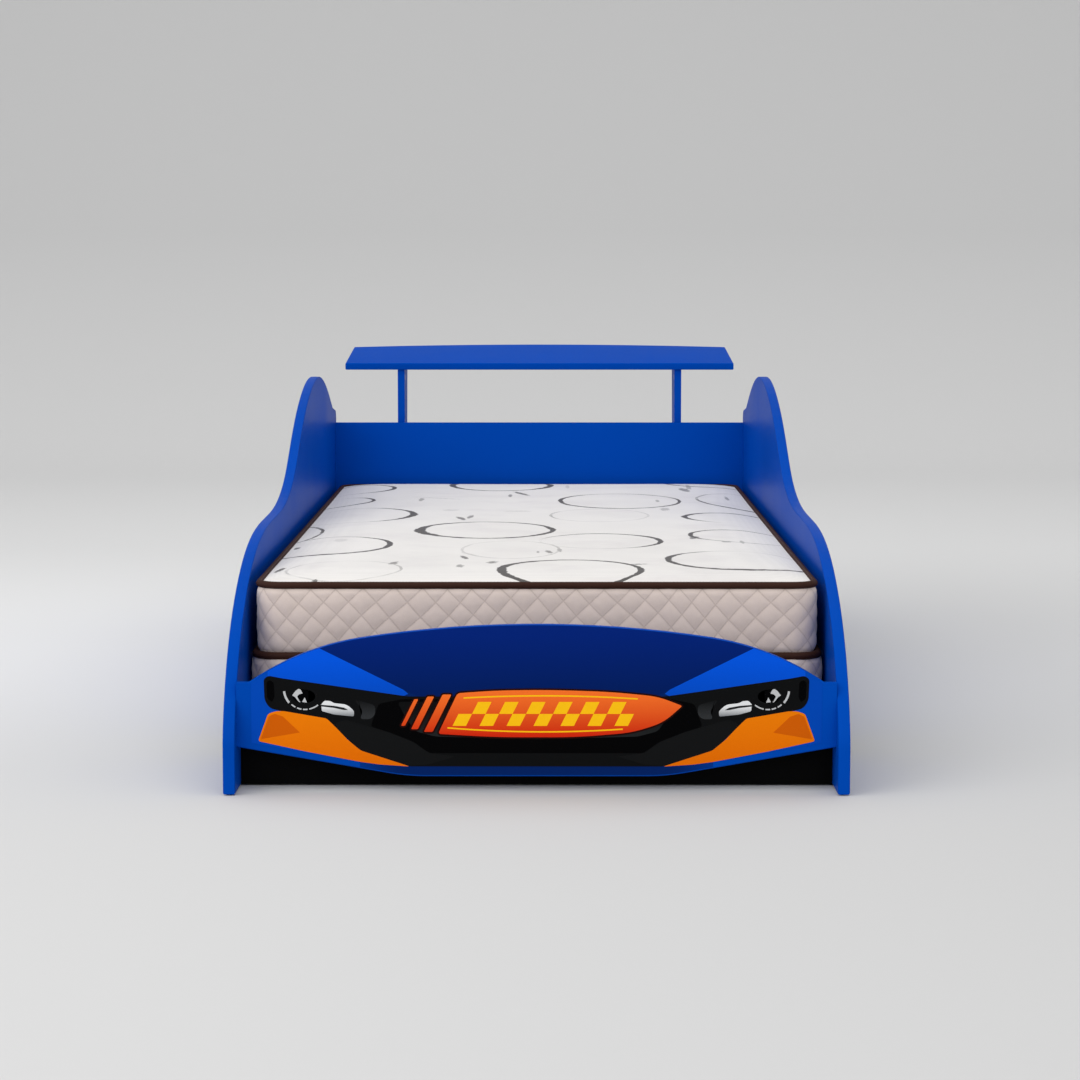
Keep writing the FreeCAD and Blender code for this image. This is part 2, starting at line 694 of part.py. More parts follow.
def plain_board(name, width, depth, height, x, y, z, eased=None, flat="edge_ease"):
    """A sawn board or batten; eased picks the edges to break."""
    body = new_body(name + "_board")
    block = body.newObject("PartDesign::AdditiveBox", name + "_block")
    for side, formula in (("Length", width), ("Width", depth), ("Height", height)):
        block.setExpression(side, bound(formula))
    doc.recompute()
    if eased:
        ease(body, block, edges_where(block.Shape, eased), flat)
    for axis, formula in (("x", x), ("y", y), ("z", z)):
        body.setExpression("Placement.Base." + axis, bound(formula))
    doc.recompute()
    return body


def kick_board():
    body = plain_board("kick_board", "2 * " + INNER_HALF, "board", "kick_top_z - glide_height",
                       "-" + INNER_HALF, "kick_recess", "glide_height")
    return cut("kick_board", body, drillings["kick_board"])


def headboard_panel():
    height = "headboard_top_z - headboard_bottom_z"
    top = size(height)
    faces = (0, size("board"))
    body = plain_board("headboard_panel", "2 * " + INNER_HALF, "board", height,
                       "-" + INNER_HALF, HEADBOARD_Y, "headboard_bottom_z",
                       lambda p: near(p.z, [top]) and near(p.y, faces))
    return cut("headboard_panel", body, drillings["headboard_panel"])


def spoiler_wing():
    """The tilted wing: straight front edge, bowed rear edge."""
    body = new_body("spoiler_wing_board")
    sketch = new_sketch(body, "spoiler_wing_outline", "XY_Plane")
    front = "(wing_front_width / 2)"
    rear = "(wing_rear_width / 2)"
    corners = [("-" + rear, "wing_end_chord"), ("-" + front, "0"), (front, "0"), (rear, "wing_end_chord")]
    points = [Vector(size(u), size(v), 0) for u, v in corners]
    lines = [sketch.addGeometry(Part.LineSegment(a, b), False) for a, b in zip(points, points[1:])]
    bow = sketch.addGeometry(Part.Arc(points[3], Vector(0, size(WING_CHORD), 0), points[0]), False)
    join(sketch, lines + [bow])
    for line, (u, v) in zip(lines, corners):
        pin(sketch, line, 1, u, v)
    pin(sketch, bow, 1, rear, "wing_end_chord")
    dimension(sketch, "Radius", bow, formula="(%s ^ 2 + wing_bow ^ 2) / (2 * wing_bow)" % rear)
    board = pad(body, sketch, "board")
    ease_outline(body, board, 2, (0, size("board")))
    body.Placement = Placement(Vector(0, size(WING_Y), size("wing_z")),
                               Rotation(Vector(1, 0, 0), size("wing_tilt")))
    return cut("spoiler_wing", body, drillings["spoiler_wing"])


def spoiler_post(side, sign):
    """A board on edge behind the headboard, cut to the wing's tilt at its top."""
    name = "spoiler_post_" + side
    body = new_body(name + "_board")
    sketch = new_sketch(body, name + "_outline", "YZ_Plane")
    top = "wing_z + (wing_overhang + %s) * tan(wing_tilt)"
    polygon(sketch, [("0", "post_bottom_z"), ("post_foot_depth", "post_bottom_z"),
                     ("post_depth", top % "post_depth"), ("0", top % "0")])
    board = pad(body, sketch, "board")
    depth = size("post_foot_depth")
    bottom = size("post_bottom_z")
    corner = edges_where(board.Shape, lambda p: near(p.y, [depth]) and near(p.z, [bottom]))
    fillet(body, board, corner, "post_corner", "FootCorner")
    body.setExpression("Placement.Base.x", bound("%d * post_spacing / 2 - board / 2" % sign))
    body.setExpression("Placement.Base.y", bound(BED_LENGTH))
    doc.recompute()
    return cut(name, body, drillings[name])


# ---------------------------------------------------------------- slatted base
def side_rail(side, sign):
    x = "-" + INNER_HALF if sign < 0 else INNER_HALF + " - rail_thickness"
    name = "side_rail_" + side
    body = plain_board(name, "rail_thickness", RAIL_LENGTH, "rail_height", x, RAIL_START, RAIL_BOTTOM)
    return cut(name, body, drillings[name])


def slat(index):
    """A slat with its long edges eased; the first and the last are screwed down."""
    name = slat_name(index)
    across, up = (0, size("slat_width")), (0, size("slat_thickness"))
    body = plain_board(name, SLAT_LENGTH, "slat_width", "slat_thickness", "-%s / 2" % SLAT_LENGTH,
                       slat_middle(index) + " - slat_width / 2", RAIL_TOP,
                       lambda p: near(p.y, across) and near(p.z, up), "slat_ease")
    if name in drillings:
        return cut(name, body, drillings[name])
    return finish_node(body, name)


def centre_beam():
    body = plain_board("centre_beam", "beam_width", RAIL_LENGTH, "beam_height",
                       "-beam_width / 2", RAIL_START, BEAM_BOTTOM)
    return cut("centre_beam", body, drillings["centre_beam"])


def mattress_stop():
    body = plain_board("mattress_stop", SLAT_LENGTH, "stop_width", "stop_height",
                       "-%s / 2" % SLAT_LENGTH, STOP_Y, RAIL_TOP)
    return cut("mattress_stop", body, drillings["mattress_stop"])


def beam_hanger(end):
    """A bent steel stirrup that carries one end of the beam."""
    name = "beam_hanger_" + end
    body = new_body(name + "_steel")
    inside = "(beam_width / 2 + hanger_play)"
    outside = "(%s + hanger_steel)" % inside
    stirrup = new_sketch(body, name + "_stirrup", "XZ_Plane")
    polygon(stirrup, [("-" + outside, "hanger_height"), ("-" + outside, "-hanger_steel"),
                      (outside, "-hanger_steel"), (outside, "hanger_height"),
                      (inside, "hanger_height"), (inside, "0"),
                      ("-" + inside, "0"), ("-" + inside, "hanger_height")])
    pad(body, stirrup, "hanger_depth")
    for sign in ("-", ""):
        flange = new_sketch(body, name + "_flange", "XZ_Plane")
        near = sign + inside
        far = "%s(%s + hanger_wing)" % (sign, outside)
        polygon(flange, [(near, "-hanger_steel"), (far, "-hanger_steel"), (far, "hanger_height"),
                         (near, "hanger_height")])
        pad(body, flange, "hanger_steel")
    turn = Rotation(Vector(0, 0, 1), 180 if end == "front" else 0)
    face = KICK_REAR if end == "front" else HEADBOARD_Y
    body.Placement = Placement(Vector(0, size(face), size(BEAM_BOTTOM)), turn)
    return cut(name, body, drillings[name])


def centre_leg(end):
    """A square leg with eased upright edges."""
    name = "centre_leg_" + end
    across = (0, size("leg_side"))
    body = plain_board(name, "leg_side", "leg_side", LEG_HEIGHT, "-leg_side / 2",
                       LEG_Y[end] + " - leg_side / 2", "glide_height",
                       lambda p: near(p.x, across) and near(p.y, across), "leg_ease")
    return cut(name, body, drillings[name])


def slat_tape(side, sign):
    """Webbing tape stapled under the slats to space them."""
    near = "(%s - rail_thickness - tape_gap)" % INNER_HALF
    x = "-" + near if sign < 0 else near + " - tape_width"
    body = plain_board("slat_tape_" + side, "tape_width", "%s - %s + slat_width" % (LAST_SLAT, FIRST_SLAT),
                       "tape_thickness", x, FIRST_SLAT + " - slat_width / 2", RAIL_TOP + " - tape_thickness")
    return finish_node(body, "slat_tape_" + side)


def floor_glides():
    """Nail-on glides under the side panels and the centre legs."""
    setback = size("glide_setback")
    length = size(BED_LENGTH)
    x = size(INNER_HALF) + size("side_board") / 2
    spots = [(sign * x, y) for side, sign in SIDES for y in (setback, length / 2, length - setback)]
    spots += [(0, size(middle)) for middle in LEG_Y.values()]
    return group("floor_glides", [drum(size("glide_radius"), size("glide_height"),
                                       Placement(Vector(x, y, 0), Rotation())) for x, y in spots])


def printed_wheel(name, sign, y):
    """A round vinyl print on the outer face of a side panel."""
    body = new_body(name + "_vinyl")
    sketch = new_sketch(body, name + "_outline", "YZ_Plane")
    disc = sketch.addGeometry(Part.Circle(Vector(), Vector(0, 0, 1), size("wheel_radius")), False)
    pin(sketch, disc, 3, "0", "0")
    dimension(sketch, "Radius", disc, formula="wheel_radius")
    pad(body, sketch, "vinyl")
    outer = INNER_HALF + " + side_board"
    x = outer if sign > 0 else "-(%s) - vinyl" % outer
    return finish_node(body, name, x=x, y=y, z="wheel_z")


# ---------------------------------------------------------------- mattress
def rounded_rectangle(sketch, half_width, half_length, radius):
    """Four sides and four corner arcs, anticlockwise, the first side on +X."""
    w, d, r = size(half_width), size(half_length), size(radius)
    quarter = math.pi / 2
    edges = []
    for k in range(4):
        turn = Rotation(Vector(0, 0, 1), 90 * k)
        across, along = (w, d) if k % 2 == 0 else (d, w)
        start, end, centre = [turn.multVec(Vector(*p, 0)) for p in (
            (across, r - along), (across, along - r), (across - r, along - r))]
        corner = Part.ArcOfCircle(Part.Circle(centre, Vector(0, 0, 1), r), quarter * k, quarter * (k + 1))
        edges += [sketch.addGeometry(Part.LineSegment(start, end), False), sketch.addGeometry(corner, False)]
    for one, two in zip(edges, edges[1:] + edges[:1]):
        sketch.addConstraint(Sketcher.Constraint("Tangent", one, 2, two, 1))
    corners = edges[1::2]
    for arc, (sx, sy) in zip(corners, (("", ""), ("-", ""), ("-", "-"), ("", "-"))):
        pin(sketch, arc, 3, "%s(%s - %s)" % (sx, half_width, radius),
            "%s(%s - %s)" % (sy, half_length, radius))
        dimension(sketch, "Radius", arc, formula=radius)


def soft_tier(name, sections):
    """A loft through rounded rectangles; each section is (height, inset) as formulas."""
    body = new_body(name + "_foam")
    sketches = []
    for index, (height, inset) in enumerate(sections):
        sketch = new_sketch(body, "%s_section_%d" % (name, index + 1), "XY_Plane", height)
        rounded_rectangle(sketch, "(mattress_width / 2 - (%s))" % inset,
                          "(mattress_length / 2 - (%s))" % inset, "mattress_corner")
        sketches.append(sketch)
    loft = body.newObject("PartDesign::AdditiveLoft", name + "_loft")
    loft.Profile = sketches[0]
    loft.Sections = sketches[1:]
    loft.Ruled = True
    doc.recompute()
    return body


def piping(name, inset, radius):
    """The corded edge: a round cord along the edge of a tier."""
    body = new_body(name + "_cord")
    half_width = "(mattress_width / 2 - (%s))" % inset
    half_length = "(mattress_length / 2 - (%s))" % inset
    path = new_sketch(body, name + "_path", "XY_Plane")
    rounded_rectangle(path, half_width, half_length, "mattress_corner")
    section = new_sketch(body, name + "_section", "XZ_Plane", "%s - mattress_corner" % half_length)
    sides = int(size("rod_sides"))
    turns = [(math.cos(2 * math.pi * k / sides), math.sin(2 * math.pi * k / sides)) for k in range(sides)]
    polygon(section, [("%s + %s * %.9f" % (half_width, radius, out), "%s * %.9f" % (radius, up))
                      for out, up in turns])
    sweep = body.newObject("PartDesign::AdditivePipe", name + "_sweep")
    sweep.Profile = section
    sweep.Spine = path
    doc.recompute()
    return body


def mattress():
    """Two tiers, each with a corded edge that the tiers are drawn in round."""
    lower = soft_tier("mattress_base", [
        ("0", "edge_draw"),
        ("band_shoulder", "side_draw"),
        ("lower_tier_height / 2", "0"),
        ("lower_tier_height - band_shoulder", "side_draw"),
        ("lower_tier_height", "edge_draw"),
    ])
    top = "upper_tier_height"
    upper = soft_tier("mattress_top", [
        ("0", "upper_tier_inset + edge_draw / 2"),
        ("band_shoulder", "upper_tier_inset + side_draw"),
        (top + " / 2", "upper_tier_inset"),
        (top + " - band_shoulder", "upper_tier_inset + side_draw"),
        (top, "upper_tier_inset + edge_draw"),
        (top + " + crown_shoulder_rise", "upper_tier_inset + crown_shoulder"),
        (top + " + crown_rise", "upper_tier_inset + crown_plateau_inset"),
    ])
    cords = [
        (piping("piping_lower", "lower_piping_radius", "lower_piping_radius"), TIER_Z),
        (piping("piping_upper", "upper_tier_inset + upper_piping_radius / 2", "upper_piping_radius"),
         TIER_Z + " + upper_tier_height"),
    ]
    for item, height in [(lower, MATTRESS_Z), (upper, TIER_Z)] + cords:
        item.setExpression("Placement.Base.y", bound(MATTRESS_MIDDLE))
        item.setExpression("Placement.Base.z", bound(height))
    doc.recompute()
    grooves = [cord.Shape for cord, height in cords]
    cut("mattress_base", lower, grooves[:1])
    cut("mattress_top", upper, grooves)
    for (cord, height), label in zip(cords, ("piping_lower", "piping_upper")):
        finish_node(cord, label)


# ---------------------------------------------------------------- the whole bed
join_cross_boards()
join_posts()
screw_base()

for side, sign in SIDES:
    side_panel(side, sign)
    side_rail(side, sign)
    spoiler_post(side, sign)
    slat_tape(side, sign)
    printed_wheel("wheel_print_front_" + side, sign, "front_wheel_y")
    printed_wheel("wheel_print_rear_" + side, sign, BED_LENGTH + " - rear_wheel_from_rear")
front_panel()
front_print()
kick_board()
headboard_panel()
spoiler_wing()
centre_beam()
for end in LEG_Y:
    beam_hanger(end)
    centre_leg(end)
mattress_stop()
for index in range(int(size("slat_count"))):
    slat(index)
for label, shapes in hardware.items():
    group(label, shapes)
floor_glides()
mattress()

# ---------------------------------------------------------------- checks and files
doc.recompute()
for item in doc.Objects:
    if "Invalid" in item.State or "Error" in item.State:
        raise RuntimeError("%s failed: %s" % (item.Name, item.State))
for item in nodes:
    if item.Shape.isNull() or not item.Shape.isValid() or item.Shape.Volume <= 0:
        raise RuntimeError("%s has no valid shape" % item.Label)

os.makedirs("parts", exist_ok=True)
for item in nodes:
    item.Shape.exportStep("parts/%s.step" % item.Label)
print("%d nodes, front edges at y = %.3f" % (len(nodes), FRONT.y))
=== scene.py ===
# %% [markdown]
# # A child's car bed
#
# The bed is a box of painted boards cut to a car's outline, with a slatted base and a corded
# two-tier mattress.  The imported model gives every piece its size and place.  This script gives
# the pieces their looks: paint, printed vinyl, bare pine, plated steel and quilted fabric.
# All lengths are in metres.  +X is to the right, +Y runs from the nose to the wing, +Z is up.

# %% Load the frame
import math
from contextlib import contextmanager

import bmesh
import bpy
import numpy as np
from mathutils import Matrix, Vector


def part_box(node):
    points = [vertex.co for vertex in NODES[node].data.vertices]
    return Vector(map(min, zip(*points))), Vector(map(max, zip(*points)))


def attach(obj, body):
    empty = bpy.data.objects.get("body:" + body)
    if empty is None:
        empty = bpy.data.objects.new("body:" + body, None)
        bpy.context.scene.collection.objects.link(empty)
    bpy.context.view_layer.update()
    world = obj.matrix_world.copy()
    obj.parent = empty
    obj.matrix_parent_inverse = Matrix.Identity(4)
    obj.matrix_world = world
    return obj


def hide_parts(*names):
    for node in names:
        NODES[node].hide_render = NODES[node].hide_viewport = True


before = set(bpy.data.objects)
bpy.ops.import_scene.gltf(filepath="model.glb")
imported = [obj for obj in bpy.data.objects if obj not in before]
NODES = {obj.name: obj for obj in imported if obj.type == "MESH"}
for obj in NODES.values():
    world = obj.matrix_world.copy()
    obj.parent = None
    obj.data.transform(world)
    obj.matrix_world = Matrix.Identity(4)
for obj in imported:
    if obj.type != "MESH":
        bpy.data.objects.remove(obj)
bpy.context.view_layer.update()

MM = 0.001
MERGE = 1e-6
BED = "bed_frame"
MATTRESS = "mattress"
SIDES = ("left", "right")
print("pieces in the frame:", len(NODES))


def linked(name, data):
    """A new object in the scene, and its data under the same name."""
    data.name = name
    piece = bpy.data.objects.new(name, data)
    bpy.context.scene.collection.objects.link(piece)
    return piece


@contextmanager
def editing(mesh, merge=0.0, facing_out=True):
    """A mesh opened as a bmesh, its near points merged first and its faces turned outwards at the end."""
    work = bmesh.new()
    work.from_mesh(mesh)
    if merge:
        bmesh.ops.remove_doubles(work, verts=work.verts, dist=merge)
    yield work
    if facing_out:
        bmesh.ops.recalc_face_normals(work, faces=work.faces)
    work.to_mesh(mesh)
    work.free()


def drawn(name, points, faces, edges=()):
    """A mesh from lists of points and faces."""
    mesh = bpy.data.meshes.new(name)
    mesh.from_pydata([tuple(point) for point in points], edges, faces)
    return mesh


def mapped(mesh, name, places):
    """A UV map with a place for each corner of each face in turn."""
    mesh.uv_layers.new(name=name).data.foreach_set("uv", np.array(places, np.float32).ravel())


def low(node):
    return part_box(node)[0]


def high(node):
    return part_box(node)[1]


# %% [markdown]
# ## The camera
#
# The photograph is taken from in front of the nose, a little above the bed, with a long lens.
# The lens, the place and the tilt were worked out once from the corners of the boards, and they
# are written here as plain sizes measured from the front edges of the side panels.

# %% Camera
FRONT_Y = low("side_panel_left").y
CAMERA_BACK = 4.1145
CAMERA_UP = 0.7947
CAMERA_ASIDE = 0.01345
CAMERA_TILT = 5.759
CAMERA_TURN = 0.114
LENS = 94.22
SENSOR = 36.0

camera_data = bpy.data.cameras.new("camera")
camera_data.lens = LENS
camera_data.sensor_width = SENSOR
camera = linked("camera", camera_data)
camera.location = (CAMERA_ASIDE, FRONT_Y - CAMERA_BACK, CAMERA_UP)
camera.rotation_euler = (math.radians(90 - CAMERA_TILT), 0, math.radians(CAMERA_TURN))
bpy.context.scene.camera = camera
bpy.context.scene.view_settings.view_transform = "Standard"

# %% [markdown]
# ## Small helpers for shaders
#
# A material is a tree of nodes.  Writing one node per line soon gets long, so small helpers do the
# wiring: `add` makes a node and feeds its sockets with numbers or links, and `calc` is the same
# for one step of arithmetic.  A socket knows which tree it is in, so most helpers ask it.  Every
# finish below is built from them.

# %% Shader helpers
def tree_of(*values):
    """The node tree that the first socket among the values is in."""
    return next(value for value in values if isinstance(value, bpy.types.NodeSocket)).id_data


def fill(socket, value):
    """Give a socket a number, a colour or a link."""
    if isinstance(value, bpy.types.NodeSocket):
        socket.id_data.links.new(value, socket)
    elif value is not None:
        socket.default_value = value


def feed(node, **inputs):
    """Fill a node's sockets, by name with _ for a space."""
    for name, value in inputs.items():
        fill(node.inputs[name.replace("_", " ")], value)


def add(tree, kind, settings=None, **inputs):
    """A node of a kind, its settings, and what its sockets are fed with."""
    node = tree.nodes.new(kind)
    for name, value in (settings or {}).items():
        setattr(node, name, value)
    feed(node, **inputs)
    return node


def calc(operation, *values):
    """One step of arithmetic on numbers."""
    node = add(tree_of(*values), "ShaderNodeMath", {"operation": operation})
    for socket, value in zip(node.inputs, values):
        fill(socket, value)
    return node.outputs[0]


def plus(a, b):
    return calc("ADD", a, b)


def minus(a, b):
    return calc("SUBTRACT", a, b)


def times(a, b):
    return calc("MULTIPLY", a, b)


def over(a, b):
    return calc("DIVIDE", a, b)


def vector(operation, a, b):
    """One step of arithmetic on vectors."""
    node = add(tree_of(a, b), "ShaderNodeVectorMath", {"operation": operation})
    fill(node.inputs[0], a)
    fill(node.inputs[1], b)
    return node.outputs[0]


def split(point):
    """A vector's three numbers."""
    return add(tree_of(point), "ShaderNodeSeparateXYZ", Vector=point).outputs


def remap(value, start, end, low_value=0.0, high_value=1.0, smooth=False):
    """A value's range turned into another, held at both ends."""
    kind = {"interpolation_type": "SMOOTHSTEP" if smooth else "LINEAR"}
    node = add(tree_of(value), "ShaderNodeMapRange", kind, Value=value, From_Min=start, From_Max=end,
               To_Min=low_value, To_Max=high_value)
    return node.outputs[0]


def mix(factor, one, two):
    """Two colours mixed by a factor."""
    node = add(tree_of(factor), "ShaderNodeMix", {"data_type": "RGBA"}, Factor=factor)
    fill(node.inputs[6], one)
    fill(node.inputs[7], two)
    return node.outputs[2]


def toned(colour, value):
    """A colour made darker or lighter by a value about 1."""
    return add(tree_of(value), "ShaderNodeHueSaturation", Color=colour, Value=value).outputs[0]


def noise(point, scale, detail=2.0, roughness=0.5):
    node = add(tree_of(point), "ShaderNodeTexNoise", Vector=point, Scale=scale, Detail=detail,
               Roughness=roughness)
    return node.outputs["Fac"]


NOISE_LOW = 0.3
NOISE_HIGH = 0.7


def ranged(value, low_value=0.0, high_value=1.0):
    """A noise, which mostly keeps to the middle of its range, spread from one value to another."""
    return remap(value, NOISE_LOW, NOISE_HIGH, low_value, high_value)


def place(tree, scale=None):
    """Object coordinates, stretched where a scale is given."""
    coordinate = tree.nodes.new("ShaderNodeTexCoord").outputs["Object"]
    if scale is None:
        return coordinate
    return add(tree, "ShaderNodeMapping", Vector=coordinate, Scale=scale).outputs[0]


def rgb(red, green, blue):
    """A colour given as on a screen, 0 to 255, in the linear light that shaders use."""
    def linear(value):
        share = value / 255
        return share / 12.92 if share <= 0.04045 else ((share + 0.055) / 1.055) ** 2.4
    return (linear(red), linear(green), linear(blue), 1.0)


def new_material(name, **sockets):
    """A material with one principled shader, its plain sockets set."""
    material = bpy.data.materials.new(name)
    material.use_nodes = True
    shader = material.node_tree.nodes["Principled BSDF"]
    feed(shader, **sockets)
    return material, material.node_tree, shader


def bump(shader, height, strength, distance):
    node = add(tree_of(height), "ShaderNodeBump", Height=height, Strength=strength, Distance=distance)
    feed(shader, Normal=node.outputs[0])


# %% [markdown]
# ## Painted board
#
# The boards are fibreboard sprayed with satin lacquer.  Sprayed paint is never a flat colour: it
# has a faint pebbled skin, called orange peel, the gloss drifts a little across a board, and the
# coat is thinner in some places.  Noise at three sizes does this.  A texture image would need a
# seam somewhere, so the noise reads the piece's own coordinates instead.

# %% Paint
BLUE = rgb(0, 70, 173)
BLACK = rgb(12, 12, 12)


def paint(name, colour, roughness=0.36):
    material, tree, shader = new_material(name, Specular_IOR_Level=0.012)
    point = place(tree)
    drift = noise(point, 2.3, 3.0)
    peel = noise(point, 420.0, 2.0)
    pores = noise(point, 1900.0, 1.0)
    gloss = ranged(drift, roughness - 0.03, roughness + 0.05)
    feed(shader, Base_Color=toned(colour, ranged(drift, 0.93, 1.05)),
         Roughness=plus(gloss, remap(peel, 0.35, 0.65, -0.03, 0.03)))
    bump(shader, plus(peel, times(pores, 0.25)), 0.12, 0.0004)
    return material


blue_paint = paint("blue_paint", BLUE)
black_paint = paint("black_paint", BLACK, 0.42)

# %% [markdown]
# ## Bare pine
#
# Slats, rails and legs are planed pine.  Its grain is long streaks of pale spring wood and darker
# summer wood with a knot here and there.  Noise stretched along the batten gives the streaks, and
# a knot is drawn where the distance to a scattered point is small.

# %% Pine
PINE_PALE = rgb(226, 190, 140)
PINE_DARK = rgb(186, 132, 78)
KNOT = rgb(112, 66, 34)
ACROSS_GRAIN = 38.0
ALONG_GRAIN = 2.2
GRAIN_LINES = 46.0


def wood(name, axis, pale, dark, knots=True):
    """Planed wood whose grain runs along an axis, 0 for X, 1 for Y and 2 for Z."""
    material, tree, shader = new_material(name, Roughness=0.62, Specular_IOR_Level=0.35)
    stretch = [ACROSS_GRAIN] * 3
    stretch[axis] = ALONG_GRAIN
    grain_point = place(tree, stretch)
    bend = noise(grain_point, 0.8, 2.0)
    streak = noise(vector("ADD", grain_point, bend), 2.6, 4.0, 0.6)
    lines = calc("SINE", times(streak, GRAIN_LINES))
    amount = remap(lines, -1.0, 1.0, 0.1, 0.85)
    colour = mix(amount, pale, dark)
    if knots:
        spots = [9.0] * 3
        spots[axis] = 3.0
        spread = add(tree, "ShaderNodeTexVoronoi", Vector=place(tree, spots), Scale=1.0)
        eye = remap(spread.outputs["Distance"], 0.05, 0.11, 1.0, 0.0, smooth=True)
        colour = mix(times(eye, 0.8), colour, KNOT)
    feed(shader, Base_Color=colour)
    fibres = noise(grain_point, 30.0, 3.0)
    bump(shader, plus(fibres, amount), 0.25, 0.0006)
    return material


pine_across = wood("pine_across", 0, PINE_PALE, PINE_DARK)
pine_along = wood("pine_along", 1, PINE_PALE, PINE_DARK)
pine_upright = wood("pine_upright", 2, PINE_PALE, PINE_DARK, knots=False)
beech = wood("beech", 0, rgb(222, 184, 140), rgb(198, 152, 104), knots=False)

# %% [markdown]
# ## Metal, nylon and webbing
#
# Hardware is small, so one look for each metal is enough: plated steel is smooth and slightly
# cloudy, and cast zinc is duller and grainy.  The webbing under the slats is a plain weave, which
# two crossed sine waves draw well at any distance.

# %% Hardware finishes
def shaded(colour, share):
    """The same colour made darker or lighter."""
    return tuple(part * share for part in colour[:3]) + (1,)


def metal(name, colour, roughness, grain):
    material, tree, shader = new_material(name, Metallic=1.0)
    point = place(tree)
    cloud = noise(point, grain, 3.0)
    feed(shader, Base_Color=mix(ranged(cloud), colour, shaded(colour, 0.8)))
    feed(shader, Roughness=ranged(cloud, roughness - 0.07, roughness + 0.1))
    bump(shader, noise(point, grain * 6), 0.1, 0.0002)
    return material


def moulded(name, colour, roughness=0.45):
    material, tree, shader = new_material(name)
    grain = noise(place(tree), 700.0, 2.0)
    feed(shader, Base_Color=mix(ranged(grain), colour, shaded(colour, 1.25)))
    feed(shader, Roughness=ranged(grain, roughness - 0.05, roughness + 0.08))
    bump(shader, grain, 0.15, 0.0003)
    return material


def weave(name, colour, pitch):
    """Plain weave on object coordinates, one thread each pitch."""
    material, tree, shader = new_material(name, Roughness=0.85, Specular_IOR_Level=0.2, Sheen_Weight=0.25)
    parts = split(place(tree))
    turns = 2 * math.pi / pitch
    waves = [calc("SINE", times(parts[k], turns)) for k in range(3)]
    cross = plus(times(waves[0], waves[1]), times(waves[2], 0.5))
    feed(shader, Base_Color=toned(colour, remap(cross, -1.0, 1.0, 0.82, 1.06)))
    bump(shader, cross, 0.4, 0.0004)
    return material


plated_steel = metal("plated_steel", (0.66, 0.66, 0.63, 1.0), 0.34, 60.0)
cast_zinc = metal("cast_zinc", (0.56, 0.56, 0.57, 1.0), 0.48, 240.0)
black_nylon = moulded("black_nylon", rgb(32, 32, 33))
white_webbing = weave("white_webbing", rgb(214, 213, 206), 0.002)

# %% [markdown]
# ## Which node gets which finish
#
# Most nodes already have the right shape, so they keep it and only get a material.  A table of
# name beginnings is enough, because the nodes are named after the real pieces.

# %% Dress the carried-over nodes
FINISHES = (
    ("kick_board", black_paint),
    ("side_rail", pine_along),
    ("slat_tape", white_webbing),
    ("slat_0", pine_across),
    ("slat_1", pine_across),
    ("centre_beam", pine_along),
    ("centre_leg", pine_upright),
    ("mattress_stop", pine_across),
    ("beam_hanger", plated_steel),
    ("cam_bolts", plated_steel),
    ("leg_bolts", plated_steel),
    ("wood_dowels", beech),
    ("floor_glides", black_nylon),
)


def give(obj, material):
    """The material on every face of the object."""
    obj.data.materials.clear()
    obj.data.materials.append(material)


for name, node in NODES.items():
    for start, finish in FINISHES:
        if name.startswith(start):
            give(node, finish)
            break

# %% [markdown]
# ## Boards with softened edges
#
# A sprayed board has no sharp edge: sanding leaves a small round that catches a line of light.
# The frame's boards have a narrow flat there.  A copy of each board is merged into one skin, and
# its shading normals are weighted by face area, so that the broad faces stay flat and the flat on
# the edge shades as a round.  That costs no extra faces.

# %% Painted boards
SHARP = math.radians(60)


def applied(source):
    """The mesh that an object's modifiers make.  The object itself is removed."""
    graph = bpy.context.evaluated_depsgraph_get()
    mesh = bpy.data.meshes.new_from_object(source.evaluated_get(graph))
    bpy.data.objects.remove(source)
    return mesh


def softened(node, material):
    """A painted skin for a board, shaded as if its eased edges were round."""
    mesh = NODES[node].data.copy()
    with editing(mesh, merge=MERGE, facing_out=False) as work:
        for edge in work.edges:
            edge.smooth = len(edge.link_faces) == 2 and edge.calc_face_angle(0) < SHARP
        for face in work.faces:
            face.smooth = True
    raw = linked(node + "_raw", mesh)
    raw.modifiers.new("weigh", "WEIGHTED_NORMAL").keep_sharp = True
    piece = linked(node + "_painted", applied(raw))
    give(piece, material)
    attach(piece, BED)
    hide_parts(node)


PAINTED = ["side_panel_left", "side_panel_right", "front_panel", "headboard_panel", "spoiler_wing",
           "spoiler_post_left", "spoiler_post_right"]
for name in PAINTED:
    softened(name, blue_paint)
print("painted boards:", len(PAINTED))

# %% [markdown]
# ## Cut vinyl
#
# The car's face is a print on thin vinyl.  It could be one flat sheet with a picture, but then its
# edges would blur in a close view.  Here each colour is its own sheet of vinyl, cut to its outline
# and laid on the one below, as a sign maker would do it.  The outlines are in millimetres: across
# from the middle, and up from the floor.  What both sides have is drawn on the left and mirrored.

# %% Vinyl material
def vinyl(name, colour, far=None, axis="Z", start=0.0, end=1.0, roughness=0.4):
    """Satin print.  With far, the ink changes evenly between two places along an axis."""
    material, tree, shader = new_material(name, Specular_IOR_Level=0.03)
    point = place(tree)
    if far is not None:
        colour = mix(remap(split(point)[axis], start, end), colour, far)
    dots = ranged(noise(point, 1400.0, 1.0), 0.97, 1.03)
    pebbles = noise(point, 260.0, 2.0)
    feed(shader, Base_Color=toned(colour, dots),
         Roughness=ranged(pebbles, roughness - 0.04, roughness + 0.06))
    bump(shader, pebbles, 0.05, 0.0003)
    return material


# %% Sheets of vinyl
SHEET = 0.06 * MM


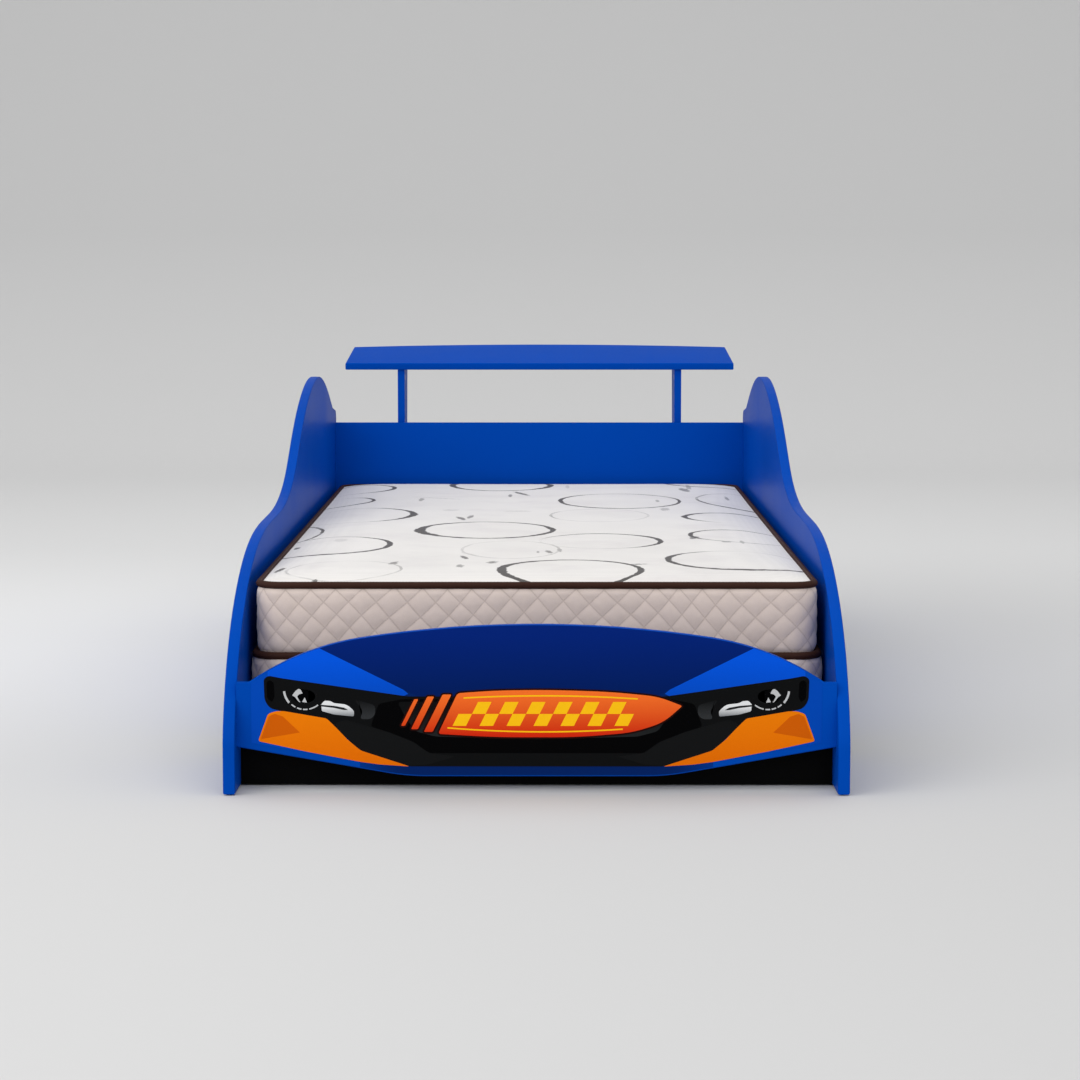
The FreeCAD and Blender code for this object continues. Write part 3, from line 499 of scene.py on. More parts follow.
def rounded(corners, radius, steps=5):
    """A closed outline with its corners rounded; radius is one number or one for each corner."""
    count = len(corners)
    radii = radius if isinstance(radius, (list, tuple)) else [radius] * count
    outline = []
    for k in range(count):
        here = Vector(corners[k])
        back = Vector(corners[k - 1]) - here
        on = Vector(corners[(k + 1) % count]) - here
        reach = min(radii[k], back.length * 0.45, on.length * 0.45)
        start = here + back.normalized() * reach
        end = here + on.normalized() * reach
        if reach < 1e-6:
            outline.append(tuple(here))
            continue
        for step in range(steps + 1):
            t = step / steps
            outline.append(tuple(start * (1 - t) ** 2 + here * 2 * t * (1 - t) + end * t ** 2))
    return outline


def oval(x, z, wide, high, steps=32):
    """A flat ellipse, anticlockwise."""
    turns = [2 * math.pi * k / steps for k in range(steps)]
    return [(x + wide * math.cos(turn), z + high * math.sin(turn)) for turn in turns]


def arc_band(x, z, radius, width, start, end, steps=10):
    """A strip of a ring between two angles in degrees."""
    turns = [math.radians(start + (end - start) * k / steps) for k in range(steps + 1)]
    outer, inner = ([(x + reach * math.cos(turn), z + reach * math.sin(turn)) for turn in turns]
                    for reach in (radius + width / 2, radius - width / 2))
    return outer + inner[::-1]


def mirrored(outlines):
    """The outlines, and the same on the other side."""
    return outlines + [[(-x, z) for x, z in outline] for outline in outlines]


def both_halves(half):
    """A symmetrical outline from its left half, given from the bottom up."""
    return half + [(-x, z) for x, z in half[::-1]]


def sheet_mesh(name, outlines, layer, to_place):
    """Closed sheets with these outlines.  to_place turns (u, v, height) into a point."""
    mesh = bpy.data.meshes.new(name)
    with editing(mesh) as work:
        for outline in outlines:
            back, front = ([work.verts.new(to_place(u * MM, v * MM, level * SHEET)) for u, v in outline]
                           for level in (0, layer))
            work.faces.new(front)
            work.faces.new(back[::-1])
            for k in range(len(outline)):
                work.faces.new((back[k - 1], back[k], front[k], front[k - 1]))
        bmesh.ops.triangulate(work, faces=[f for f in work.faces if len(f.verts) > 4])
    return mesh


def cut_sheet(name, outlines, layer, to_place, material):
    piece = linked(name, sheet_mesh(name, outlines, layer, to_place))
    give(piece, material)
    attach(piece, BED)
    return piece


# %% [markdown]
# ## The car's face
#
# The print follows the arch of the front panel.  Its own outline comes from the frame, so the
# sheets of the bonnet and the wedges read its upper edge there and lap a little over it.  The
# order of the layers says which colour lies on which.

# %% Front print
PRINT_FACE = low("front_print").y


def on_front(u, v, height):
    return (u, PRINT_FACE - height, v)


def print_edge(upper):
    """The print's upper or lower edge, as heights in millimetres over places across."""
    points = np.array([v.co for v in NODES["front_print"].data.vertices]) / MM
    middle = (points[:, 2].max() + points[:, 2].min()) / 2
    chosen = points[(points[:, 2] > middle) == upper]
    order = np.argsort(chosen[:, 0])
    return chosen[order][:, 0], chosen[order][:, 2]


UPPER_X, UPPER_Z = print_edge(True)
LOWER_X, LOWER_Z = print_edge(False)
LAP = 1.4
TOP_STEP = 12


def along_top(start, end):
    """Points that lap a little over the print's upper edge, between two places across."""
    count = max(2, int(abs(end - start) / TOP_STEP))
    return [(x, float(np.interp(x, UPPER_X, UPPER_Z)) + LAP) for x in np.linspace(start, end, count)]


BORDER = rgb(0, 70, 178)
GROUND_NAVY = rgb(2, 34, 96)
WEDGE = rgb(1, 84, 220)
WEDGE_FAR = rgb(1, 72, 190)
HOOD = rgb(1, 34, 116)
HOOD_LOW = rgb(0, 28, 92)
SOOT = rgb(14, 15, 16)
PITCH = rgb(1, 1, 2)
SLATE = rgb(34, 36, 37)
CHEEK = rgb(19, 20, 21)
GLASS = rgb(47, 49, 51)
ORANGE = rgb(234, 122, 4)
ORANGE_LOW = rgb(226, 108, 2)
RUST = rgb(206, 93, 4)
SILVER = rgb(226, 228, 230)
LIGHT_GREY = rgb(190, 192, 194)
STEEL_GREY = rgb(120, 124, 128)


def ground_vinyl():
    """The print's ground: blue, but navy in the middle, where only the strip over the sill shows."""
    material, tree, shader = new_material("vinyl_ground", Roughness=0.4, Specular_IOR_Level=0.03)
    point = place(tree)
    across = split(point)[0]
    side = remap(calc("ABSOLUTE", across), 0.19, 0.36, smooth=True)
    feed(shader, Base_Color=mix(side, GROUND_NAVY, BORDER))
    bump(shader, noise(point, 260.0, 2.0), 0.05, 0.0003)
    return material


GROUND = ground_vinyl()
give(NODES["front_print"], GROUND)
PANEL_FACE = low("front_panel").y
SILL_HALF = 262
SILL_MARGIN = 0.5


def on_panel(u, v, height):
    return (u, PANEL_FACE - height, v)


def sill_strip():
    """The print's last strip, from its lower edge down to the sill of the panel."""
    points = np.array([v.co for v in NODES["front_panel"].data.vertices]) / MM
    face = points[points[:, 1] < PANEL_FACE / MM + 0.01]
    face = face[face[:, 2] < np.interp(face[:, 0], LOWER_X, LOWER_Z)]
    face = face[np.argsort(face[:, 0])]
    places = np.linspace(-SILL_HALF, SILL_HALF, 49)
    lower_edge = [(x, float(np.interp(x, face[:, 0], face[:, 2])) + SILL_MARGIN) for x in places]
    upper_edge = [(x, float(np.interp(x, LOWER_X, LOWER_Z))) for x in places[::-1]]
    return lower_edge + upper_edge


def face_sheet(name, outlines, layer, *inks, roughness=0.4):
    """One sheet of the front print, in a vinyl of its own."""
    material = vinyl(name + "_vinyl", *inks, roughness=roughness)
    cut_sheet(name, outlines, layer, on_front, material)


cut_sheet("print_sill", [sill_strip()], 6, on_panel, GROUND)

HOOD_CORNER = 321
NOSE = (-197, 154)
hood = along_top(-HOOD_CORNER, HOOD_CORNER) + [(197, 154), (150, 132), (-150, 132), NOSE]
face_sheet("print_hood", [hood], 1, HOOD, HOOD_LOW, "Z", 0.235, 0.15)

wedge = along_top(-398, -HOOD_CORNER)
wedge += [NOSE, (-190, 148), (-204, 141), (-232, 147), (-376, 168), (-398, 171)]
face_sheet("print_wedge", mirrored([wedge]), 2, WEDGE, WEDGE_FAR, "Z", 0.20, 0.14)

# %% [markdown]
# ## Lamps, grille and bumper corners
#
# The lower face is a black mask from lamp to lamp.  Its facets are only a little lighter than the
# black, as glossy plastic is when it faces the sky.  The lamps are an oval lens, a curved row of
# short lights and a silver bar, and orange corners sit under them.

# %% Mask, corners and lamps
mask = both_halves([(-188, 39), (-262, 62), (-311, 110), (-378, 122), (-395, 126), (-403, 138),
                    (-404, 170), (-397, 175), (-376, 171), (-232, 150), (-190, 144)])
corner_sizes = [8 if abs(x) > 390 else 3 for x, z in mask]
face_sheet("print_mask", [rounded(mask, corner_sizes)], 3, SOOT)

opening = both_halves([(-159, 59), (-183, 76), (-218, 90), (-246, 99), (-240, 116), (-234, 133),
                       (-200, 140)])
face_sheet("print_opening", [rounded(opening, 5)], 4, PITCH)

brow = [(-206, 136), (-196, 116), (-180, 92), (-150, 84), (0, 80), (150, 84), (180, 92), (196, 116),
        (206, 136)]
face_sheet("print_brow", [rounded(brow, 6)], 5, SLATE, SOOT, "Z", 0.08, 0.125)
cheek = [(-299, 104), (-284, 109), (-218, 90), (-183, 76), (-159, 59), (-120, 54), (-160, 42), (-188, 40),
         (-262, 63), (-294, 94)]
face_sheet("print_cheek", mirrored([rounded(cheek, 4)]), 5, CHEEK)

orange = [(-413, 77), (-398, 118), (-386, 122), (-374, 122), (-311, 111), (-296, 96), (-280, 79),
          (-261, 63), (-188, 39), (-233, 42), (-262, 46), (-340, 61)]
face_sheet("print_orange", mirrored([rounded(orange, 4)]), 6, ORANGE, ORANGE_LOW, "Z", 0.11, 0.05)
rust = [(-409, 80), (-397, 114), (-388, 118), (-376, 114), (-351, 90)]
face_sheet("print_rust", mirrored([rounded(rust, [2, 2, 2, 0.4, 0.4])]), 7, RUST)

LAMP = (-344, 144)
LAMP_WIDE = 17.5
LAMP_HIGH = 11
RIM_SHARE = 0.07
DASH_CENTRE = (-343, 155)
DASH_RADIUS = 30.5
DASHES = ((229, 242), (247, 260), (264, 277), (282, 309))
GLOSSY = 0.25

notch = [(-400, 165), (-395, 169), (-389, 165), (-388, 143), (-392, 135), (-399, 141)]
lamp_glass = oval(*LAMP, LAMP_WIDE, LAMP_HIGH)
face_sheet("print_notch", mirrored([rounded(notch, 3), lamp_glass]), 4, PITCH, roughness=0.2)
glass = [(-270, 140), (-253, 135), (-239, 131), (-239, 117), (-246, 110), (-262, 110), (-257, 122)]
rim = lamp_glass[-10:] + lamp_glass[:9]
rim += [(x + (LAMP[0] - x) * RIM_SHARE, z + (LAMP[1] - z) * RIM_SHARE) for x, z in rim[::-1]]
face_sheet("print_glass", mirrored([rounded(glass, 6), rim]), 5, GLASS, SOOT, "Z", 0.114, 0.14,
           roughness=GLOSSY)

dashes = [arc_band(*DASH_CENTRE, DASH_RADIUS + 0.5, 3.2, 186, 221)]
dashes += [arc_band(*DASH_CENTRE, DASH_RADIUS, 2.0, start, end) for start, end in DASHES]
reflex = [(-362, 145.5), (-357.8, 143.3), (-353.2, 137), (-350.5, 134.8), (-349.8, 136.2),
          (-354.6, 143.8), (-351.8, 147.2), (-346.3, 148.6), (-349.4, 154.4), (-352.6, 155.4),
          (-357, 152.2)]
spark = [(-347.4, 135.6), (-340, 134.8), (-343.4, 142.6)]
lights = dashes + [rounded(reflex, 1), spark]
face_sheet("print_lights", mirrored(lights), 6, LIGHT_GREY, roughness=GLOSSY)
bar = [(-319, 132), (-314, 138), (-305, 137), (-300, 134), (-281, 132), (-270, 122), (-271, 114),
       (-300, 117), (-318, 122)]
face_sheet("print_silver", mirrored([rounded(bar, [1, 3, 3, 3, 6, 6, 2, 3, 2])]), 6,
           SILVER, STEEL_GREY, "Z", 0.128, 0.114, roughness=GLOSSY)
slit = [(-320, 129.2), (-300, 126.8), (-286, 123.8), (-279, 123.6), (-285, 127.2), (-300, 130),
        (-320, 131.6)]
face_sheet("print_slit", mirrored([slit]), 7, SLATE)

# %% [markdown]
# ## The racing badge
#
# A slanted bar lies across the nose, red below and orange above, with three thinner bars behind it
# that make it look fast, all with a dark edge.  On the bar run two rows of slanted squares that
# step past each other, the oldest sign of a race track, between two thin lines.  The dark edge is
# the same outline moved outwards.  The squares are laid out by a loop.

# %% Badge
BADGE_RED = rgb(206, 40, 14)
BADGE_ORANGE = rgb(244, 112, 40)
BADGE_YELLOW = rgb(251, 192, 20)
BADGE_DARK = rgb(34, 9, 7)
BADGE_EDGE = 2.6
SQUARE_WIDE = 20
SQUARE_HIGH = 18
SLANT = 9
SQUARES = 13
SQUARES_LOW = 100
SQUARES_MIDDLE = 10
LINE_HALF = 130
LINE_THICK = 2.2
BADGE_LINES = ((144, -4, -108, 150), (90, 5, -132, 128))  # height, dip at the ends, start and end
BAR = [(-146, 88), (-60, 83), (60, 83), (142, 90), (188, 105), (216, 130), (180, 144), (110, 151),
       (20, 154), (-60, 153), (-117, 149)]
BAR_CORNERS = [5, 40, 40, 40, 20, 3, 20, 40, 40, 40, 5]
STREAKS = ((-167, 13, 91, 147), (-186, 10, 95, 144), (-201, 6, 100, 140))


def moved_out(outline, by):
    """A closed outline that runs anticlockwise, moved outwards along the mean of its sides' normals."""
    moved = []
    for k, point in enumerate(outline):
        here = Vector(point)
        before = (here - Vector(outline[k - 1])).normalized()
        after = (Vector(outline[(k + 1) % len(outline)]) - here).normalized()
        one, two = Vector((before.y, -before.x)), Vector((after.y, -after.x))
        moved.append(tuple(here + (one + two) * by / (1 + one.dot(two))))
    return moved


def leaning(left, wide, bottom, top):
    """A four-sided bar that leans as the squares do."""
    lean = (top - bottom) * SLANT / SQUARE_HIGH
    return [(left, bottom), (left + wide, bottom), (left + wide + lean, top), (left + lean, top)]


bars = [rounded(BAR, BAR_CORNERS)] + [rounded(leaning(*streak), 2) for streak in STREAKS]
face_sheet("badge_edge", [moved_out(bar, BADGE_EDGE) for bar in bars], 8, BADGE_DARK)
face_sheet("badge_field", bars, 9, BADGE_RED, BADGE_ORANGE, "Z", 0.086, 0.148)
marks = []
for row in range(2):
    bottom = SQUARES_LOW + row * SQUARE_HIGH
    for k in range(row, SQUARES, 2):
        left = SQUARES_MIDDLE + (k - SQUARES / 2) * SQUARE_WIDE + (row - 0.5) * SLANT
        marks.append(leaning(left, SQUARE_WIDE, bottom, bottom + SQUARE_HIGH))
for z, dip, start, end in BADGE_LINES:
    line = [(x, z + dip * ((x - SQUARES_MIDDLE) / LINE_HALF) ** 2) for x in np.linspace(start, end, 14)]
    marks.append(line + [(x, height + LINE_THICK) for x, height in line[::-1]])
face_sheet("badge_marks", marks, 10, BADGE_YELLOW)
print("squares and lines on the badge:", len(marks))

# %% [markdown]
# ## Geometry Nodes
#
# Spokes, screws and stitches repeat.  A Geometry Nodes tree makes the copies: its sizes are named
# inputs on the modifier, and it ends by making the copies real and giving them their material.
# `baked` turns the result into a plain mesh, so that nothing depends on the tree later.

# %% Geometry Nodes helpers
def new_tree(name, **sizes):
    """An empty tree with a Geometry input and output and a named input for each size.

    A size is a whole number or a length.  Where it is None, the input takes an object.  The tree
    comes with the inputs' sockets and its last node.
    """
    tree = bpy.data.node_groups.new(name, "GeometryNodeTree")
    tree.interface.new_socket("Geometry", in_out="INPUT", socket_type="NodeSocketGeometry")
    kinds = {int: "NodeSocketInt", float: "NodeSocketFloat", type(None): "NodeSocketObject"}
    for label, value in sizes.items():
        entry = tree.interface.new_socket(label, in_out="INPUT", socket_type=kinds[type(value)])
        if value is not None:
            entry.default_value = value
    tree.interface.new_socket("Geometry", in_out="OUTPUT", socket_type="NodeSocketGeometry")
    return tree, tree.nodes.new("NodeGroupInput").outputs, tree.nodes.new("NodeGroupOutput")


def close_tree(tree, exit_node, geometry, material):
    real = add(tree, "GeometryNodeRealizeInstances", Geometry=geometry)
    finish = add(tree, "GeometryNodeSetMaterial", Geometry=real.outputs[0], Material=material)
    feed(exit_node, Geometry=finish.outputs[0])


def baked(name, data, tree, slot, body, **sizes):
    """The tree's result on a mesh or curve as a plain mesh that rides on a body."""
    holder = linked(name + "_source", data)
    modifier = holder.modifiers.new("tree", "NODES")
    modifier.node_group = tree
    for item in tree.interface.items_tree:
        if item.name in sizes and item.in_out == "INPUT":
            modifier[item.identifier] = sizes[item.name]
    piece = linked(name, applied(holder))
    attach(piece, body)
    return piece


# %% [markdown]
# ## Screws and cam locks
#
# Eighteen screws and twenty cam locks hold the boards and the slatted base, and only their heads
# show.  Each is a turned piece with a cross-shaped recess for the driver.  It is modelled once
# with a few dozen faces and copied to where the frame has a fastening.  The copies are turned by
# a random angle round their own axis, because nobody stops every screw at the same angle.

# %% One turned fastening
CROSS_ANGLES = (0, 20, 45, 70)
CROSS_REACH = (1.0, 1.064, 0.51, 1.064)
RECESS_FLOOR = 0.6


def turned(name, profile, reach, depth):
    """A turned piece along Z, given as (radius, height) from its top down, with a cross recess on top."""
    angles = [math.radians(angle + 90 * quarter) for quarter in range(4) for angle in CROSS_ANGLES]
    cross = CROSS_REACH * 4
    rings = [[(reach * RECESS_FLOOR * share, -depth) for share in cross]]
    rings += [[(reach * share, 0.0) for share in cross]]
    rings += [[spot] * len(angles) for spot in profile]
    mesh = bpy.data.meshes.new(name)
    with editing(mesh) as work:
        rows = [[work.verts.new((r * MM * math.cos(a), r * MM * math.sin(a), z * MM))
                 for a, (r, z) in zip(angles, ring)] for ring in rings]
        caps = [work.faces.new(rows[0][::-1]), work.faces.new(rows[-1])]
        for one, two in zip(rows[:-1], rows[1:]):
            for k in range(len(angles)):
                work.faces.new((one[k - 1], one[k], two[k], two[k - 1]))
        bmesh.ops.triangulate(work, faces=caps)
    return linked(name, mesh)


# %% Where the fastenings are
LONG_SHARE = 1.3  # a screw is longer than it is wide by more than this, and a cam lock is not


def fastening_places(node):
    """Each fastening's head, outward direction and length, in a fixed order."""
    work = bmesh.new()
    work.from_mesh(NODES[node].data)
    bmesh.ops.remove_doubles(work, verts=work.verts, dist=MERGE)
    left, found = set(work.verts), []
    for first in work.verts:
        if first not in left:
            continue
        left.remove(first)
        pile, points = [first], []
        while pile:
            here = pile.pop()
            points.append(tuple(here.co))
            for edge in here.link_edges:
                other = edge.other_vert(here)
                if other in left:
                    left.remove(other)
                    pile.append(other)
        points = np.array(points)
        size = np.ptp(points, axis=0)
        order = np.argsort(size)
        axis = order[2] if size[order[2]] > LONG_SHARE * size[order[1]] else order[0]
        middle = (points.max(axis=0) + points.min(axis=0)) / 2
        sign = math.copysign(1, points.mean(axis=0)[axis] - middle[axis])
        aim = np.zeros(3)
        aim[axis] = sign
        found.append((middle + aim * size[axis] / 2, aim, size[axis] / MM))
    work.free()
    return found


def places_mesh(name, found):
    """A mesh of loose points with the direction of each as the attribute aim."""
    spots, aims, lengths = zip(*found)
    mesh = drawn(name, spots, [])
    layer = mesh.attributes.new("aim", "FLOAT_VECTOR", "POINT")
    layer.data.foreach_set("vector", np.array(aims, np.float32).ravel())
    return mesh


# %% Fastenings by Geometry Nodes
def fastening_tree(name, material):
    tree, get, leave = new_tree(name, Shape=None, Seed=3)
    shape = add(tree, "GeometryNodeObjectInfo", Object=get["Shape"])
    aim = add(tree, "GeometryNodeInputNamedAttribute", {"data_type": "FLOAT_VECTOR"}, Name="aim")
    facing = add(tree, "FunctionNodeAlignRotationToVector", {"axis": "Z"}, Vector=aim.outputs[0])
    chance = add(tree, "FunctionNodeRandomValue", {"data_type": "FLOAT"}, Seed=get["Seed"])
    fill(chance.inputs[3], 2 * math.pi)
    angle = add(tree, "ShaderNodeCombineXYZ", Z=chance.outputs[1])
    twist = add(tree, "FunctionNodeRotateRotation", {"rotation_space": "LOCAL"},
                Rotation=facing.outputs[0], Rotate_By=angle.outputs[0])
    copies = add(tree, "GeometryNodeInstanceOnPoints", Points=get["Geometry"],
                 Instance=shape.outputs["Geometry"], Rotation=twist.outputs[0])
    close_tree(tree, leave, copies.outputs[0], material)
    return tree


STEEL_TREE = fastening_tree("screws_on_places", plated_steel)
ZINC_TREE = fastening_tree("cam_locks_on_places", cast_zinc)


def screw(name, length):
    """A countersunk screw, in millimetres."""
    profile = [(3.3, 0), (3.6, -0.25), (1.75, -2.0), (1.75, 3 - length), (0.3, -length)]
    return turned(name, profile, 1.9, 1.3)


def cam_lock(name, length):
    """A round cam lock, in millimetres."""
    profile = [(6.6, 0), (7.3, -0.3), (7.5, -0.9), (7.5, 0.5 - length), (7, -length)]
    return turned(name, profile, 3.3, 1.6)


def fasten(node, shape_of, tree, slot, seed):
    """Detailed copies in the place of a node's plain fastenings."""
    found = fastening_places(node)
    shape = shape_of(node + "_shape", found[0][2])
    made = baked(node + "_made", places_mesh(node, found), tree, slot, BED, Shape=shape, Seed=seed)
    bpy.data.objects.remove(shape)
    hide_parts(node)
    print(made.name, len(found), "copies, faces", len(made.data.polygons))


for seed, node in enumerate(("rail_screws", "slat_screws", "stop_screws", "hanger_screws")):
    fasten(node, screw, STEEL_TREE, "steel", seed)
fasten("cam_locks", cam_lock, ZINC_TREE, "zinc", 9)

# %% [markdown]
# ## Printed wheels
#
# Each side carries two wheels, printed on vinyl like the face.  The tyre is the disc that the
# frame gives.  The rim, the dark dish and the hub lie on it as rings, and one spoke is copied
# round the hub.

# %% Wheels
TYRE = rgb(24, 24, 26)
# each ring's name, outer and inner radius, colour and layer
RIM_SIZES = (("groove", 136, 133.5, SLATE, 1), ("rim", 108, 99, SILVER, 1), ("dish", 99, 0, PITCH, 1),
             ("lip", 96, 93, STEEL_GREY, 2), ("hub", 27, 0, STEEL_GREY, 4), ("cap", 14, 0, BORDER, 5))
SPOKES = 5
SPOKE_LAYER = 3
SPOKE = [(-15, 20), (-8, 96), (-20, 96), (-25, 70), (-19, 20)]

radial, get, leave = new_tree("copies_round_an_axle", Count=SPOKES)
spots = add(radial, "GeometryNodePoints", Count=get["Count"])
turn = times(add(radial, "GeometryNodeInputIndex").outputs[0], over(2 * math.pi, get["Count"]))
spin = add(radial, "ShaderNodeCombineXYZ", X=turn)
copies = add(radial, "GeometryNodeInstanceOnPoints", Points=spots.outputs[0], Instance=get["Geometry"],
             Rotation=spin.outputs[0])
close_tree(radial, leave, copies.outputs[0], vinyl("vinyl_spoke", SILVER, roughness=0.3))


def ring_faces(outer, inner, steps=72):
    """Outlines that cover a ring: one disc, or a row of four-sided tiles."""
    if inner == 0:
        return [oval(0, 0, outer, outer, steps)]
    out, back = oval(0, 0, outer, outer, steps), oval(0, 0, inner, inner, steps)
    return [[out[k - 1], out[k], back[k], back[k - 1]] for k in range(steps)]


def weld(piece):
    """Tiles of one sheet joined, and the walls between them taken out."""
    with editing(piece.data, merge=1e-7) as work:
        walls = [f for f in work.faces
                 if abs(f.normal.x) < 0.5 and sum(len(e.link_faces) > 2 for e in f.edges) == 4]
        bmesh.ops.delete(work, geom=walls, context="FACES_ONLY")


def wheel(node):
    lowest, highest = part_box(node)
    middle = (lowest + highest) / 2
    outward = 1 if middle.x > 0 else -1
    face = highest.x if outward > 0 else lowest.x

    def on_side(u, v, height):
        return (face + outward * height, middle.y + u, middle.z + v)

    give(NODES[node], vinyl(node + "_tyre", TYRE, roughness=0.55))
    for part, outer, inner, colour, layer in RIM_SIZES:
        weld(cut_sheet(node + "_" + part, ring_faces(outer, inner), layer, on_side,
                       vinyl(node + "_" + part, colour, roughness=0.3)))
    mesh = sheet_mesh(node + "_spoke", mirrored([SPOKE]), SPOKE_LAYER,
                      lambda u, v, height: (outward * height, u, v))
    spokes = baked(node + "_spokes", mesh, radial, "wheel_print", BED, Count=SPOKES)
    spokes.data.transform(Matrix.Translation((face, middle.y, middle.z)))


for end in ("front", "rear"):
    for side in SIDES:
        wheel(f"wheel_print_{end}_{side}")
print("wheels made with", SPOKES, "double spokes each")

# %% [markdown]
# ## The mattress
#
# The mattress is foam in two tiers, sewn into ticking whose band is quilted in diamonds, with a
# brown tape over each seam.  A plain box would look hard.  Each tier is drawn as rings: they run
# from the middle of the top, out over the edge, down the band and back in below.  The same
# drawing is made twice.  A coarse one is blown up by the cloth solver while its seams are held,
# and the way it moved is then carried over to a fine one, which gets the quilting.

# %% Tier shapes
CORNER = 50 * MM
CROWN = 9 * MM
CROWN_REACH = 45 * MM
DIAMOND_WIDE = 40 * MM
DIAMOND_HIGH = 42 * MM
STEPS = 12  # columns to a diamond


class Tier:
    """One tier of the mattress: its outline, heights and crown, in metres."""

    def __init__(self, node, crown, corner):
        lowest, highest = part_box(node)
        self.centre = (lowest + highest) / 2
        self.half = ((highest.x - lowest.x) / 2, (highest.y - lowest.y) / 2)
        self.corner = corner
        self.bottom = lowest.z
        self.top = highest.z - crown
        self.crown = crown

    def length(self):
        straight = sum(self.half) * 4 - 8 * self.corner
        return straight + 2 * math.pi * self.corner

    def outline(self, columns):
        """Places and outward directions at even steps round the tier, from the middle of its front.

        The centre of the corner's circle runs along the straight sides and waits while a corner turns.
        """
        wide, deep = (size - self.corner for size in self.half)
        quarter = math.pi / 2 * self.corner
        runs = [wide, quarter, 2 * deep, quarter, 2 * wide, quarter, 2 * deep, quarter, wide]
        ends = np.cumsum([0] + runs)
        away = np.arange(columns) / columns * ends[-1]
        turn = np.interp(away, ends, np.radians([-90, -90, 0, 0, 90, 90, 180, 180, 270, 270]))
        x = np.interp(away, ends, [0, wide, wide, wide, wide, -wide, -wide, -wide, -wide, 0])
        y = np.interp(away, ends, [-deep, -deep, -deep, deep, deep, deep, deep, -deep, -deep, -deep])
        facing = np.column_stack([np.cos(turn), np.sin(turn)])
        places = np.column_stack([x, y]) + self.corner * facing
        for k in range(1, columns // 2):
            places[columns - k] = places[k] * (-1, 1)
            facing[columns - k] = facing[k] * (-1, 1)
        return places + (self.centre.x, self.centre.y), facing


def rings_of(tier, columns, face_rows, band_rows):
    """Rows of rings as an array, and each row's kind: top, band or base."""
    places, facing = tier.outline(columns)
    reach = tier.half[1] - tier.half[0]
    spine = np.column_stack([np.full(columns, tier.centre.x),
                             np.clip(places[:, 1], tier.centre.y - reach, tier.centre.y + reach)])
    depth = np.linalg.norm(places - spine, axis=1)
    rows, kinds = [], []

    def ring(kind, share, height):
        rows.append(np.column_stack([places + (spine - places) * share, height + np.zeros(columns)]))
        kinds.append(kind)

    for share in face_rows[::-1]:
        ring("top", share, tier.top + tier.crown * (1 - np.exp(-share * depth / CROWN_REACH)))
    for share in band_rows:
        ring("band", 0, tier.top + (tier.bottom - tier.top) * share)
    for share in face_rows[1:]:
        ring("base", share, tier.bottom)
    return np.array(rows), kinds, facing


upper = Tier("mattress_top", CROWN, CORNER - CROWN)
lower = Tier("mattress_base", 0.0, CORNER)
print("diamonds round the upper tier:", round(upper.length() / DIAMOND_WIDE))

# %% [markdown]
# ## Rings into a skin
#
# Neighbouring rings are joined by quads.  Where a ring has a quarter of the points of the next,
# each of its steps fans out to four.  The innermost ring folds flat onto the middle line, and
# merging its points closes the skin without a hole.

# %% Skin from rings
def skin(name, rings, thin_rows, marks):
    """A closed mesh from rings of points.  Rows in thin_rows keep one point in four.

    marks holds a pair of cloth coordinates for each ring and column, and one column more, so that
    the last face of a ring doesn't run back to the first column's place.
    """
    points, rows, uvs = [], [], []
    for k, ring in enumerate(rings):
        step = 4 if k in thin_rows else 1
        kept = range(0, len(ring), step)
        rows.append([len(points) + n for n in range(len(kept))])
        points.extend(ring[list(kept)])
    faces = []
    columns = rings.shape[1]
    for k, (one, two) in enumerate(zip(rows[:-1], rows[1:])):
        if len(one) == len(two):
            count = len(one)
            step = columns // count
            for n in range(count):
                faces.append((one[n], two[n], two[(n + 1) % count], one[(n + 1) % count]))
                here, after = n * step, (n + 1) * step
                uvs += [marks[k, here], marks[k + 1, here], marks[k + 1, after], marks[k, after]]
            continue
        few, many, flip = (one, two, False) if len(one) < len(two) else (two, one, True)
        few_row, many_row = (k + 1, k) if flip else (k, k + 1)
        for n in range(len(few)):
            near, far = [(few[(n + m) % len(few)], marks[few_row, 4 * (n + m)]) for m in (0, 1)]
            fine = [(many[(4 * n + m) % len(many)], marks[many_row, 4 * n + m]) for m in range(5)]
            fan = [(near, fine[0], fine[1]), (near, fine[1], fine[2]), (near, fine[2], far),
                   (far, fine[2], fine[3]), (far, fine[3], fine[4])]
            for face in fan:
                if flip:
                    face = face[::-1]
                faces.append(tuple(point for point, mark in face))
                uvs += [mark for point, mark in face]
    mesh = drawn(name, points, faces)
    mapped(mesh, "cloth", uvs)
    with editing(mesh, merge=2e-6) as work:
        for face in work.faces:
            face.smooth = True
        open_edges = sum(len(edge.link_faces) != 2 for edge in work.edges)
    print(name, "faces", len(mesh.polygons), "open edges", open_edges)
    return linked(name, mesh)


# %% [markdown]
# ## Blowing up the cage
#
# The coarse drawing gets the Cloth modifier with a little pressure and no gravity.  The two seam
# rings are pinned, as the sewn tape holds them.  The band bulges, the long sides more than the
# corners, and the top lifts.  How far a point may move is capped, since foam only lets the fabric
# go so far.

# %% Cloth cage
CAGE_COLUMNS = 200
CAGE_FACE = [0, 0.03, 0.08, 0.16, 0.26, 0.38, 0.52, 0.68, 0.84, 1.0]
CAGE_BAND = [0, 0.12, 0.25, 0.38, 0.5, 0.62, 0.75, 0.88, 1.0]
TICKING_CLOTH = {"quality": 6, "mass": 0.4, "tension_stiffness": 25, "compression_stiffness": 25,
                 "shear_stiffness": 12, "bending_stiffness": 4, "use_pressure": True,
                 "uniform_pressure_force": 3.0, "vertex_group_mass": "seams", "pin_stiffness": 1.0}
FRAMES = 16
SIDE_CAP = 4.5 * MM
FACE_CAP = 3.0 * MM


